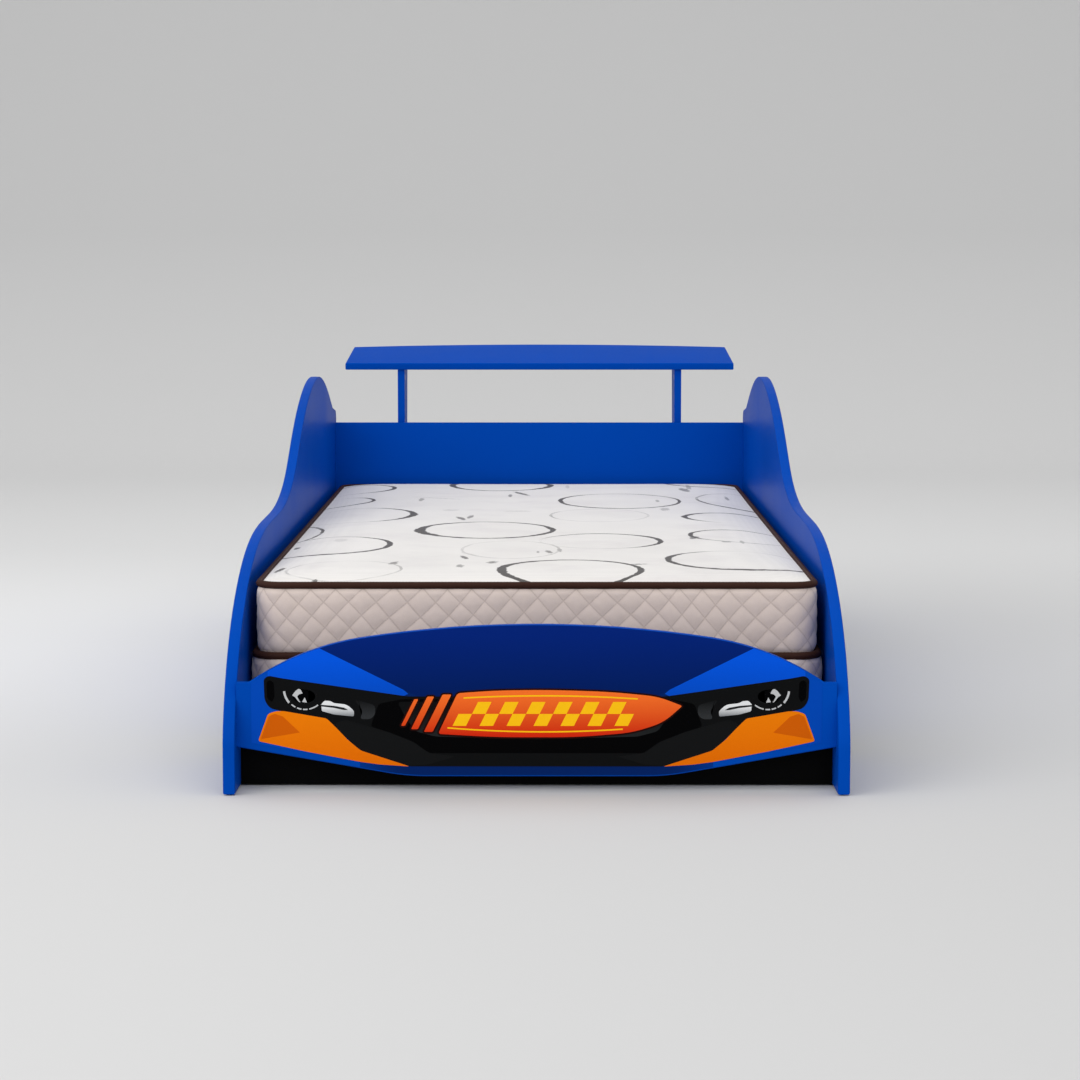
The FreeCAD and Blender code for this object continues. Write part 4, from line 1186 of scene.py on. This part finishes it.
def swell(tier, name):
    """How the cage's points move when blown up: an array like its rings."""
    rings, kinds, facing = rings_of(tier, CAGE_COLUMNS, CAGE_FACE, CAGE_BAND)
    keys, merged, links = {}, [], np.zeros(rings.shape[:2], int)
    for r, ring in enumerate(rings):
        for c, point in enumerate(ring):
            key = tuple(np.round(point, 5))
            if key not in keys:
                keys[key] = len(merged)
                merged.append(point)
            links[r, c] = keys[key]
    faces = []
    for r in range(len(rings) - 1):
        for c in range(CAGE_COLUMNS):
            corners = [links[r, c], links[r + 1, c], links[r + 1, (c + 1) % CAGE_COLUMNS],
                       links[r, (c + 1) % CAGE_COLUMNS]]
            corners = [v for k, v in enumerate(corners) if v != corners[k - 1]]
            if len(set(corners)) > 2:
                faces.append(tuple(int(v) for v in corners))
    mesh = drawn(name, merged, faces)
    with editing(mesh):
        pass  # only its faces are turned outwards
    cage = linked(name, mesh)
    pins = cage.vertex_groups.new(name="seams")
    band = [r for r, kind in enumerate(kinds) if kind == "band"]
    base = [r for r, kind in enumerate(kinds) if kind == "base"]
    held = np.unique(links[[band[0], band[0] - 1, band[-1]] + base])
    pins.add([int(v) for v in held], 1.0, "REPLACE")
    cloth = cage.modifiers.new("cloth", "CLOTH")
    for label, value in TICKING_CLOTH.items():
        setattr(cloth.settings, label, value)
    cloth.settings.effector_weights.gravity = 0.0
    cloth.point_cache.frame_start = 1
    cloth.point_cache.frame_end = FRAMES
    scene = bpy.context.scene
    for step in range(1, FRAMES + 1):
        scene.frame_set(step)
    graph = bpy.context.evaluated_depsgraph_get()
    result = cage.evaluated_get(graph).to_mesh()
    moved = np.array([v.co for v in result.vertices])
    scene.frame_set(1)
    shift = moved - np.array(merged)
    caps = np.where(np.isin(np.arange(len(merged)), links[band]), SIDE_CAP, FACE_CAP)
    size = np.linalg.norm(shift, axis=1)
    shift *= (caps * np.tanh(size / caps) / np.maximum(size, 1e-9))[:, None]
    print(name, "points", len(merged), "largest move %.1f mm, kept %.1f mm" % (
        size.max() / MM, np.linalg.norm(shift, axis=1).max() / MM))
    cage.modifiers.clear()
    bpy.data.objects.remove(cage)
    return shift[links]


def carried(shift, fine_face, fine_band, columns):
    """The cage's moves read off at the fine drawing's rows and columns."""
    def levels(face, band):
        """Each row as one growing number: the top up to 0, the band to 1 and the base beyond."""
        return np.concatenate([-np.array(face[::-1]), np.array(band) + 1e-6, 1 + np.array(face[1:])])
    coarse = levels(CAGE_FACE, CAGE_BAND)
    fine = levels(fine_face, fine_band)
    across = np.arange(columns) / columns * CAGE_COLUMNS
    before = across.astype(int)
    part = across - before
    smooth = part * part * (3 - 2 * part)
    around = (shift[:, before % CAGE_COLUMNS] * (1 - smooth)[None, :, None]
              + shift[:, (before + 1) % CAGE_COLUMNS] * smooth[None, :, None])
    out = np.zeros((len(fine), columns, 3))
    for axis in range(3):
        for c in range(columns):
            out[:, c, axis] = np.interp(fine, coarse, around[:, c, axis])
    return out


# %% [markdown]
# ## Quilting
#
# Quilting is two families of slanted seams.  Between them the wadding stands up in pillows; at a
# seam the thread pulls the fabric in.  Each point of the skin has a place on the cloth, counted
# in diamonds along and up the band.  Its sum and its difference are two slanted coordinates, and
# a seam runs where one of them is a whole number.  Real seams wander, so the places are bent by a
# few long waves that close round the mattress.  The same places are kept as a UV map, from which
# the ticking's shader draws the stitches.

# %% Quilted band
QUILT_DEPTH = 2.1 * MM
PROUD = 2.0 * MM
QUILT_SHARPNESS = 3.2
EDGE_ROLL = 4.5 * MM
ROLL_REACH = 7 * MM
FINE_INSIDE = 4  # rows next to the band that keep all their points, on the top and in the base
FINE_BELOW = 2
FINE_FACE = [0, 0.006, 0.014, 0.03, 0.05, 0.08, 0.12, 0.17, 0.23, 0.3, 0.38, 0.47, 0.57, 0.68, 0.8, 0.9,
             1.0]
WAVES = (
    # times round, lean, start, how far sideways and upwards
    (17, 0.8, 0.0, 0.10, 0.0), (31, 1.3, 2.0, 0.05, 0.04), (23, -0.9, 1.1, 0.0, 0.07),
    (9, 0.4, 4.0, 0.08, 0.05),
)


def cloth_places(tier, rings, columns, diamonds):
    """Each point's place on the cloth in diamonds, with one column more to close the round."""
    share = np.arange(columns + 1) / columns
    marks = np.zeros((len(rings), columns + 1, 2))
    for r, ring in enumerate(rings):
        up = (ring[:, 2].mean() - tier.bottom) / DIAMOND_HIGH
        marks[r] = np.column_stack([share * diamonds, np.full(columns + 1, up)])
        for count, lean, start, sideways, upwards in WAVES:
            wave = np.sin(2 * math.pi * count * share + lean * up + start)
            marks[r] += np.column_stack([wave * sideways, wave * upwards])
    return marks


def from_seam(value):
    """0 on a whole number and 1 half way between two."""
    return np.abs((value + 0.5) % 1.0 - 0.5) * 2


def quilt(rings, kinds, facing, tier, marks):
    """Push the band's rows out into pillows and roll its edges in to the tape."""
    for r, kind in enumerate(kinds):
        if kind != "band":
            continue
        along, up = marks[r, :-1, 0], marks[r, :-1, 1]
        pillow = np.ones(len(along))
        for slanted in (along + up, along - up):
            pillow *= 1 - (1 - from_seam(slanted)) ** QUILT_SHARPNESS
        height = rings[r][:, 2].mean()
        near = min(height - tier.bottom, tier.top - height)
        roll = math.exp(-(near / ROLL_REACH) ** 2)
        out = (QUILT_DEPTH * (pillow - 1) + PROUD) * (1 - roll) - EDGE_ROLL * roll
        rings[r][:, :2] += facing * out[:, None]
    return rings


def make_tier(tier, name, node):
    diamonds = round(tier.length() / DIAMOND_WIDE)
    columns = diamonds * STEPS
    rows = max(8, round((tier.top - tier.bottom) / DIAMOND_HIGH * STEPS))
    fine_band = list(np.linspace(0, 1, rows + 1))
    rings, kinds, facing = rings_of(tier, columns, FINE_FACE, fine_band)
    marks = cloth_places(tier, rings, columns, diamonds)
    rings += carried(swell(tier, name + "_cage"), FINE_FACE, fine_band, columns)
    rings = quilt(rings, kinds, facing, tier, marks)
    first = kinds.index("band")
    last = len(kinds) - kinds[::-1].index("band") - 1
    thin = [r for r in range(len(kinds)) if r < first - FINE_INSIDE or r > last + FINE_BELOW]
    piece = skin(name, rings, thin, marks)
    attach(piece, MATTRESS)
    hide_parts(node)
    return piece


mattress_upper = make_tier(upper, "mattress_upper", "mattress_top")
mattress_lower = make_tier(lower, "mattress_lower", "mattress_base")

# %% [markdown]
# ## Ticking
#
# The band is a knitted ticking in a warm off-white.  Its stitches are too small to see from a step
# away, but they make the cloth look soft, so the shader gives it a sheen, a fine knit and a little
# drift in tone.  The seams between the pillows lie in shade, and the quilting depth is known there,
# so painted shade draws them a little darker.

# %% Ticking and printed top
TICKING = rgb(222, 206, 197)
TOP_CLOTH = rgb(233, 230, 227)
INK = rgb(36, 28, 26)
WASH = rgb(206, 200, 202)
SEAM_SHADE = rgb(150, 128, 119)
THREAD = rgb(214, 200, 190)
STITCHES_A_SIDE = 9


def knit(point, pitch):
    """A fine knit as a height from 0 to 1."""
    parts = split(point)
    turns = 2 * math.pi / pitch
    across = plus(parts[0], parts[1])
    sway = times(calc("SINE", times(across, turns)), 0.5)
    rows = calc("SINE", plus(times(parts[2], turns), sway))
    other = calc("SINE", times(minus(parts[0], parts[1]), turns))
    return remap(plus(rows, other), -2.0, 2.0)


def cloth_look(name, colour, pitch=0.0016, sheen=0.35):
    material, tree, shader = new_material(name, Roughness=0.85, Specular_IOR_Level=0.2,
                                          Sheen_Weight=sheen, Sheen_Roughness=0.5)
    point = place(tree)
    threads = knit(point, pitch)
    drift = noise(point, 9.0, 3.0)
    speckle = noise(point, 900.0, 2.0)
    value = times(remap(threads, 0, 1, 0.96, 1.02), ranged(drift, 0.975, 1.02))
    tint = toned(colour, times(value, ranged(speckle, 0.97, 1.03)))
    return material, tree, shader, point, tint, plus(threads, speckle)


def seam_lines(tree):
    """How far off the nearest seam is, in diamonds, and the stitches along it, from the UV map."""
    parts = split(add(tree, "ShaderNodeUVMap", {"uv_map": "cloth"}).outputs[0])
    along, up = parts[0], parts[1]
    slants = [plus(along, up), minus(along, up)]
    gaps, threads = [], []
    for this, other in (slants, slants[::-1]):
        gap = calc("PINGPONG", this, 0.5)
        gaps.append(gap)
        beat = calc("PINGPONG", times(other, STITCHES_A_SIDE), 0.5)
        threads.append(times(remap(gap, 0.012, 0.03, 1.0, 0.0), remap(beat, 0.08, 0.2)))
    return calc("MINIMUM", *gaps), calc("MAXIMUM", *threads)


def ticking_look():
    material, tree, shader, point, tint, weft = cloth_look("quilted_ticking", TICKING)
    gap, stitch = seam_lines(tree)
    groove = remap(gap, 0.01, 0.05, 1.0, 0.0, smooth=True)
    # Painted shade: along each seam groove the cloth is darkened towards SEAM_SHADE.
    colour = mix(times(groove, 0.38), tint, SEAM_SHADE)
    colour = mix(times(stitch, 0.6), colour, THREAD)
    feed(shader, Base_Color=colour)
    pucker = times(noise(point, 130.0, 2.0), remap(gap, 0.0, 0.3, 1.0, 0.25))
    relief = plus(minus(times(weft, 0.3), groove), plus(stitch, pucker))
    bump(shader, relief, 0.35, 0.0009)
    return material


ticking = ticking_look()

# %% [markdown]
# ## The printed rings
#
# The top cloth is printed with brush-drawn rings, large and flat as seen from the foot of the bed.
# A ring is where the distance to its centre equals its radius.  Bending that distance with noise
# makes the line waver, and letting its width grow towards some directions makes the brush press
# and lift.  One node group draws a ring; a loop places it many times.

# %% Ring print group
RINGS = (
    # across, along from the front edges, half width, half length, and the ink at the right, left,
    # far and near side
    (-93, 940, 119, 150, 0.80, 1.00, 0.45, 0.75), (52, 300, 111, 135, 0.70, 0.90, 0.60, 0.45),
    (330, 440, 118, 143, 0.20, 0.85, 0.10, 0.85), (109, 742, 104, 126, 0.75, 0.05, 0.50, 0.15),
    (-370, 683, 118, 152, 0.65, 0.10, 0.25, 0.85), (360, 848, 92, 112, 0.00, 0.55, 0.40, 0.25),
    (-82, 1935, 105, 150, 0.95, 0.95, 0.10, 0.40), (162, 1540, 120, 168, 0.40, 0.60, 0.30, 0.55),
    (-350, 1245, 113, 150, 0.95, 0.00, 0.15, 0.10), (-400, 1850, 93, 110, 0.75, 0.00, 0.45, 0.20),
    (-412, 1565, 78, 95, 0.60, 0.00, 0.10, 0.50), (372, 1195, 95, 105, 0.10, 0.75, 0.60, 0.00),
    (360, 2000, 85, 110, 0.00, 0.55, 0.00, 0.50), (440, 1590, 118, 185, 0.00, 0.30, 0.15, 0.85),
    (-470, 950, 80, 180, 0.40, 0.00, 0.40, 0.10),
    (115, 1225, 92, 130, 0.14, 0.20, 0.10, 0.08), (-45, 600, 82, 140, 0.18, 0.14, 0.08, 0.10),
    (-305, 310, 90, 115, 0.16, 0.14, 0.08, 0.10),
)
DABS = (
    # across, along, half width, half length, turn in degrees, ink
    (-408, 342, 5, 20, 10, 0.9), (-344, 186, 4, 18, 12, 0.9), (-230, 388, 5, 16, 10, 0.7),
    (-72, 402, 6, 12, 8, 0.7), (-122, 348, 5, 14, 0, 0.6), (-119, 474, 4, 20, -12, 0.8),
    (-110, 520, 3, 24, -25, 0.3), (19, 563, 4, 18, -8, 0.7), (1, 560, 2, 12, 0, 0.5),
    (37, 590, 3, 20, -4, 0.5), (158, 372, 5, 14, 70, 0.7), (-412, 702, 4, 14, 0, 0.8),
    (273, 803, 6, 18, 10, 0.8), (325, 741, 6, 10, 0, 0.5), (353, 745, 3, 18, 0, 0.5),
    (-36, 1712, 5, 36, -18, 0.85), (-59, 1664, 3, 24, 0, 0.7), (-237, 1570, 4, 26, 0, 0.55),
    (-205, 1605, 3, 40, -60, 0.3), (-145, 1162, 5, 24, -12, 0.8), (-128, 1195, 4, 24, 4, 0.7),
    (305, 1810, 7, 34, -6, 0.7), (317, 1880, 4, 44, 0, 0.5), (245, 1355, 7, 24, 0, 0.4),
    (238, 1540, 3, 20, 0, 0.5), (384, 1645, 3, 28, 0, 0.6), (60, 1890, 3, 36, 0, 0.25),
    (-170, 1335, 12, 12, 0, 0.18), (-40, 1310, 20, 14, 0, 0.14), (-342, 770, 9, 20, 0, 0.16),
)


DAB = 1.5 * MM  # what the sizes of a dab are counted in
WAVER = 12 * MM
LINE_THIN = 2.4 * MM
PRESSED_WIDER = 6.2 * MM


def print_group(name, *labels):
    """An empty group.  Its inputs are Place, Centre and one number for each label."""
    tree = bpy.data.node_groups.new(name, "ShaderNodeTree")
    for label in ("Place", "Centre") + labels:
        kind = "NodeSocketVector" if label in ("Place", "Centre") else "NodeSocketFloat"
        tree.interface.new_socket(label, in_out="INPUT", socket_type=kind)
    tree.interface.new_socket("Ink", in_out="OUTPUT", socket_type="NodeSocketFloat")
    return tree, tree.nodes.new("NodeGroupInput").outputs, tree.nodes.new("NodeGroupOutput").inputs[0]


def squared(a):
    return times(a, a)


def ring_group():
    """A group that prints one ring; its output is the ink, 0 to 1."""
    tree, get, leave = print_group("printed_ring", "Radius", "Stretch", "Right", "Left", "Far", "Near")
    off = split(vector("SUBTRACT", get["Place"], get["Centre"]))
    x, y = off[0], over(off[1], get["Stretch"])
    distance = calc("SQRT", plus(squared(x), squared(y)))
    waver = times(minus(noise(get["Place"], 7.0, 2.0), 0.5), WAVER)
    gap = minus(plus(distance, waver), get["Radius"])
    east, north = over(x, distance), over(y, distance)
    press = None
    lobes = ((east, 1, "Right"), (east, -1, "Left"), (north, 1, "Far"), (north, -1, "Near"))
    for heading, sign, label in lobes:
        lobe = squared(calc("MAXIMUM", times(heading, sign), 0.0))
        share = times(lobe, get[label])
        press = share if press is None else plus(press, share)
    patchy = remap(noise(get["Place"], 13.0, 1.0), 0.35, 0.65, 0.75, 1.15)
    press = times(press, patchy)
    width = calc("MULTIPLY_ADD", squared(press), PRESSED_WIDER, LINE_THIN)
    angle = calc("ARCTAN2", y, x)
    along = add(tree, "ShaderNodeCombineXYZ", X=times(angle, 1.6), Y=times(gap, 330.0), Z=get["Radius"])
    hairs = noise(along.outputs[0], 2.0, 3.0)
    ragged = times(minus(noise(get["Place"], 70.0, 3.0), 0.5), 1.1)
    reach = plus(over(calc("ABSOLUTE", gap), width), ragged)
    body = remap(reach, 0.75, 1.1, 1.0, 0.0, smooth=True)
    wet = calc("MULTIPLY_ADD", press, 0.55, hairs)
    dry = remap(wet, 0.4, 0.64)
    depth = remap(press, 0.0, 0.38)
    fill(leave, times(times(body, dry), depth))
    return tree


def dab_group():
    """A group that prints one short stroke of a nearly dry brush."""
    tree, get, leave = print_group("printed_dab", "Wide", "Long", "Turn", "Ink")
    off = vector("SUBTRACT", get["Place"], get["Centre"])
    swung = add(tree, "ShaderNodeVectorRotate", {"rotation_type": "Z_AXIS"}, Vector=off,
                Angle=get["Turn"])
    parts = split(swung.outputs[0])
    across, along = over(parts[0], get["Wide"]), over(parts[1], get["Long"])
    ragged = times(minus(noise(get["Place"], 140.0, 3.0), 0.5), 2.8)
    reach = plus(plus(squared(across), squared(along)), ragged)
    fill(leave, times(remap(reach, 0.45, 1.0, 1.0, 0.0, smooth=True), get["Ink"]))
    return tree


# %% Printed top cloth
PRINTED_RING = ring_group()
PRINTED_DAB = dab_group()


def stamp(tree, group, flat, centre, values):
    """One copy of a printing group; values go to its inputs after Place and Centre."""
    node = add(tree, "ShaderNodeGroup", {"node_tree": group}, Place=flat,
               Centre=(centre[0] * MM, FRONT_Y + centre[1] * MM, 0.0))
    for socket, value in zip(node.inputs[2:], values):
        fill(socket, value)
    return node.outputs[0]


def printed_look():
    material, tree, shader, point, tint, weft = cloth_look("printed_cloth", TOP_CLOTH, 0.0014, 0.2)
    parts = split(point)
    flat = add(tree, "ShaderNodeCombineXYZ", X=parts[0], Y=parts[1]).outputs[0]
    inks = [stamp(tree, PRINTED_RING, flat, (x, y), (wide * MM, long / wide, *weights))
            for x, y, wide, long, *weights in RINGS]
    inks += [stamp(tree, PRINTED_DAB, flat, (x, y), (wide * DAB, long * DAB, math.radians(turn), weight))
             for x, y, wide, long, turn, weight in DABS]
    ink = inks[0]
    for other in inks[1:]:
        ink = calc("MAXIMUM", ink, other)
    cloud = remap(noise(point, 6.0, 4.0, 0.6), 0.5, 0.72, 0.0, 0.36)
    tint = mix(cloud, tint, WASH)
    feed(shader, Base_Color=mix(times(ink, 0.96), tint, INK))
    bump(shader, weft, 0.3, 0.0004)
    print("rings and dabs on the top cloth:", len(inks))
    return material


printed = printed_look()
BELOW_SEAM = 0.5 * MM  # the top cloth starts this far below the upper seam
FACES_UP = 0.3


def dress_tier(piece, tier, top_material):
    """Ticking everywhere and the top cloth on the upper face."""
    give(piece, ticking)
    piece.data.materials.append(top_material)
    level = tier.top - BELOW_SEAM
    for face in piece.data.polygons:
        face.material_index = int(face.center.z > level and face.normal.z > FACES_UP)


dress_tier(mattress_upper, upper, printed)
dress_tier(mattress_lower, lower, ticking)

# %% [markdown]
# ## Brown tape over the seams
#
# A folded tape covers each seam.  It is a round tube that follows the seam's rounded rectangle,
# with a twill drawn along it from its UV map: u runs along the tape and v round it.

# %% Seam tape
TAPE_SIDES = 14
TAPE_STEP = 8 * MM
TAPE_INSIDE = 12 * MM
TWILL_ALONG = 1.6 * MM
TWILL_ROUND = 2.2 * MM


def tape_look():
    material, tree, shader = new_material("brown_tape", Roughness=0.6, Specular_IOR_Level=0.1)
    parts = split(add(tree, "ShaderNodeUVMap").outputs[0])
    slant = plus(times(parts[0], 2 * math.pi / TWILL_ALONG), times(parts[1], 2 * math.pi / TWILL_ROUND))
    twill = remap(calc("SINE", slant), -1, 1)
    tint = mix(twill, rgb(46, 25, 19), rgb(70, 43, 34))
    feed(shader, Base_Color=tint)
    bump(shader, twill, 0.5, 0.0003)
    return material


brown_tape = tape_look()


def stitch_tree(material):
    """Stitches as small seeds laid along a loop: pitch, length and thickness are its inputs."""
    tree, get, leave = new_tree("stitches_along_a_seam", Pitch=0.005, Length=0.004, Thickness=0.001)
    path = add(tree, "GeometryNodeMeshToCurve", Mesh=get["Geometry"])
    spots = add(tree, "GeometryNodeResampleCurve", {"mode": "LENGTH"}, Curve=path.outputs[0],
                Length=get["Pitch"])
    tangent = tree.nodes.new("GeometryNodeInputTangent")
    facing = add(tree, "FunctionNodeAlignRotationToVector", {"axis": "X"}, Vector=tangent.outputs[0])
    seed = add(tree, "GeometryNodeMeshUVSphere", Segments=6, Rings=4, Radius=0.5)
    size = add(tree, "ShaderNodeCombineXYZ", X=get["Length"], Y=get["Thickness"], Z=get["Thickness"])
    copies = add(tree, "GeometryNodeInstanceOnPoints", Points=spots.outputs[0],
                 Instance=seed.outputs["Mesh"], Rotation=facing.outputs[0], Scale=size.outputs[0])
    close_tree(tree, leave, copies.outputs[0], material)
    return tree


def thread_look():
    material, tree, shader = new_material("brown_thread", Roughness=0.5, Specular_IOR_Level=0.2)
    strand = noise(place(tree), 2600.0, 1.0)
    feed(shader, Base_Color=mix(strand, rgb(70, 44, 36), rgb(112, 78, 66)))
    bump(shader, strand, 0.3, 0.0002)
    return material


STITCHES = stitch_tree(thread_look())
STITCH_LIFT = math.radians(62)


def tape_stitches(name, places, facing, radius, height):
    """A row of stitches on the tape's upper inner side."""
    inward = facing * -math.cos(STITCH_LIFT) * radius
    loop = [(x, y, height + math.sin(STITCH_LIFT) * radius) for x, y in places + inward]
    path = drawn(name, loop, [], [(k, (k + 1) % len(loop)) for k in range(len(loop))])
    row = baked(name, path, STITCHES, "piping", MATTRESS)
    row.data.polygons.foreach_set("use_smooth", [True] * len(row.data.polygons))
    print(name, "faces", len(row.data.polygons))


def seam_tape(node, name):
    lowest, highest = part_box(node)
    radius = (highest.z - lowest.z) / 2
    middle = (lowest + highest) / 2
    track = Tier(node, 0.0, CORNER - TAPE_INSIDE)
    track.half = tuple(size - radius for size in track.half)
    steps = round(track.length() / TAPE_STEP)
    places, facing = track.outline(steps)
    points, faces, uvs = [], [], []
    tall = 2 * math.pi * radius / TAPE_SIDES
    for k in range(steps):
        for side in range(TAPE_SIDES):
            turn = 2 * math.pi * side / TAPE_SIDES
            x, y = places[k] + facing[k] * math.cos(turn) * radius
            points.append((x, y, middle.z + math.sin(turn) * radius))
            this, after = k * TAPE_SIDES, (k + 1) % steps * TAPE_SIDES
            above = (side + 1) % TAPE_SIDES
            faces.append((this + side, after + side, after + above, this + above))
            uvs += [((k + m) * TAPE_STEP, (side + n) * tall) for m, n in ((0, 0), (1, 0), (1, 1), (0, 1))]
    mesh = drawn(name, points, faces)
    mapped(mesh, "UVMap", uvs)
    mesh.polygons.foreach_set("use_smooth", [True] * len(faces))
    piece = linked(name, mesh)
    give(piece, brown_tape)
    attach(piece, MATTRESS)
    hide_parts(node)
    tape_stitches(name + "_stitches", places, facing, radius, middle.z)
    return piece


for level in ("lower", "upper"):
    tape = seam_tape("piping_" + level, "tape_" + level)
    print(tape.name, "faces", len(tape.data.polygons))

# %% [markdown]
# ## Studio
#
# The floor sweeps up into a wall a long way behind, as a paper roll does in a studio.  One large
# soft lamp stands to the left in front, so that the bed's shadow falls softly to the right, and
# the world's even light fills the rest.  The paper's colour holds painted light and shade as well:
# it is lightest on the left beside the bed, and darker to the right, towards the camera and up the
# wall.

# %% Sweep, lamps and world
FLOOR_REACH = 60.0
FLOOR_END = 5.0
BEND = 3.0
WALL_TOP = 9.0


def sweep():
    material, tree, shader = new_material("studio_paper_painted_light", Roughness=0.9, Specular_IOR_Level=0.1)
    x, y, z = split(place(tree))
    # Painted light and shade in the paper's colour: lightest on the left beside the bed, darker to the
    # right, towards the camera and up the wall.
    aside = remap(x, -1.0, 1.0)
    near = mix(aside, rgb(211, 211, 211), rgb(206, 206, 206))
    middle = mix(aside, rgb(230, 230, 230), rgb(212, 212, 212))
    tint = mix(remap(y, -1.3, 0.5, smooth=True), near, middle)
    tint = mix(remap(y, 0.8, 2.6, smooth=True), tint, rgb(221, 221, 221))
    tint = mix(remap(z, 0.0, 0.27), tint, rgb(215, 215, 215))
    tint = mix(remap(z, 0.27, 0.9), tint, rgb(204, 204, 204))
    feed(shader, Base_Color=tint)
    profile = [(-FLOOR_REACH, 0.0), (FLOOR_END, 0.0)]
    profile += [(FLOOR_END + BEND * math.sin(turn), BEND * (1 - math.cos(turn)))
                for turn in np.linspace(0.1, math.pi / 2, 16)]
    profile.append((FLOOR_END + BEND, WALL_TOP))
    points = [(x, y, z) for y, z in profile for x in (-FLOOR_REACH, FLOOR_REACH)]
    faces = [(k, k + 1, k + 3, k + 2) for k in range(0, len(points) - 2, 2)]
    mesh = drawn("studio_sweep", points, faces)
    mesh.polygons.foreach_set("use_smooth", [True] * len(faces))
    floor = linked("studio_sweep", mesh)
    give(floor, material)


def lamp(name, spot, aim, wide, tall, watts):
    """A soft white lamp at a spot, aimed at another, with its sides in metres."""
    data = bpy.data.lights.new(name, "AREA")
    data.shape = "RECTANGLE"
    data.size, data.size_y = wide, tall
    data.energy = watts
    light = linked(name, data)
    light.location = spot
    light.rotation_euler = (Vector(aim) - Vector(spot)).to_track_quat("-Z", "Y").to_euler()


def studio_world(strength, backdrop):
    """Even white light, but rays that are seen directly or in a gloss meet a paler grey backdrop."""
    world = bpy.data.worlds.new("studio")
    world.use_nodes = True
    rays = world.node_tree.nodes.new("ShaderNodeLightPath").outputs
    seen = calc("MAXIMUM", rays["Is Glossy Ray"], rays["Is Transmission Ray"])
    seen = calc("MAXIMUM", rays["Is Camera Ray"], seen)
    light = (strength, strength, strength, 1.0)
    feed(world.node_tree.nodes["Background"], Color=mix(seen, light, backdrop), Strength=1.0)
    bpy.context.scene.world = world


sweep()
lamp("key", (-3.7, -3.4, 3.3), (0, -0.2, 0.3), 4.2, 3.4, 76)
lamp("fill", (0.3, -6.6, 2.7), (0, 0, 0.3), 5.0, 3.0, 58)
lamp("top", (-0.6, 0.0, 4.6), (0, 0.2, 0), 4.8, 4.4, 48)
lamp("wall", (0, 1.5, 4.6), (0, 7.6, 1.4), 6.0, 2.0, 30)
studio_world(0.78, rgb(188, 188, 188))
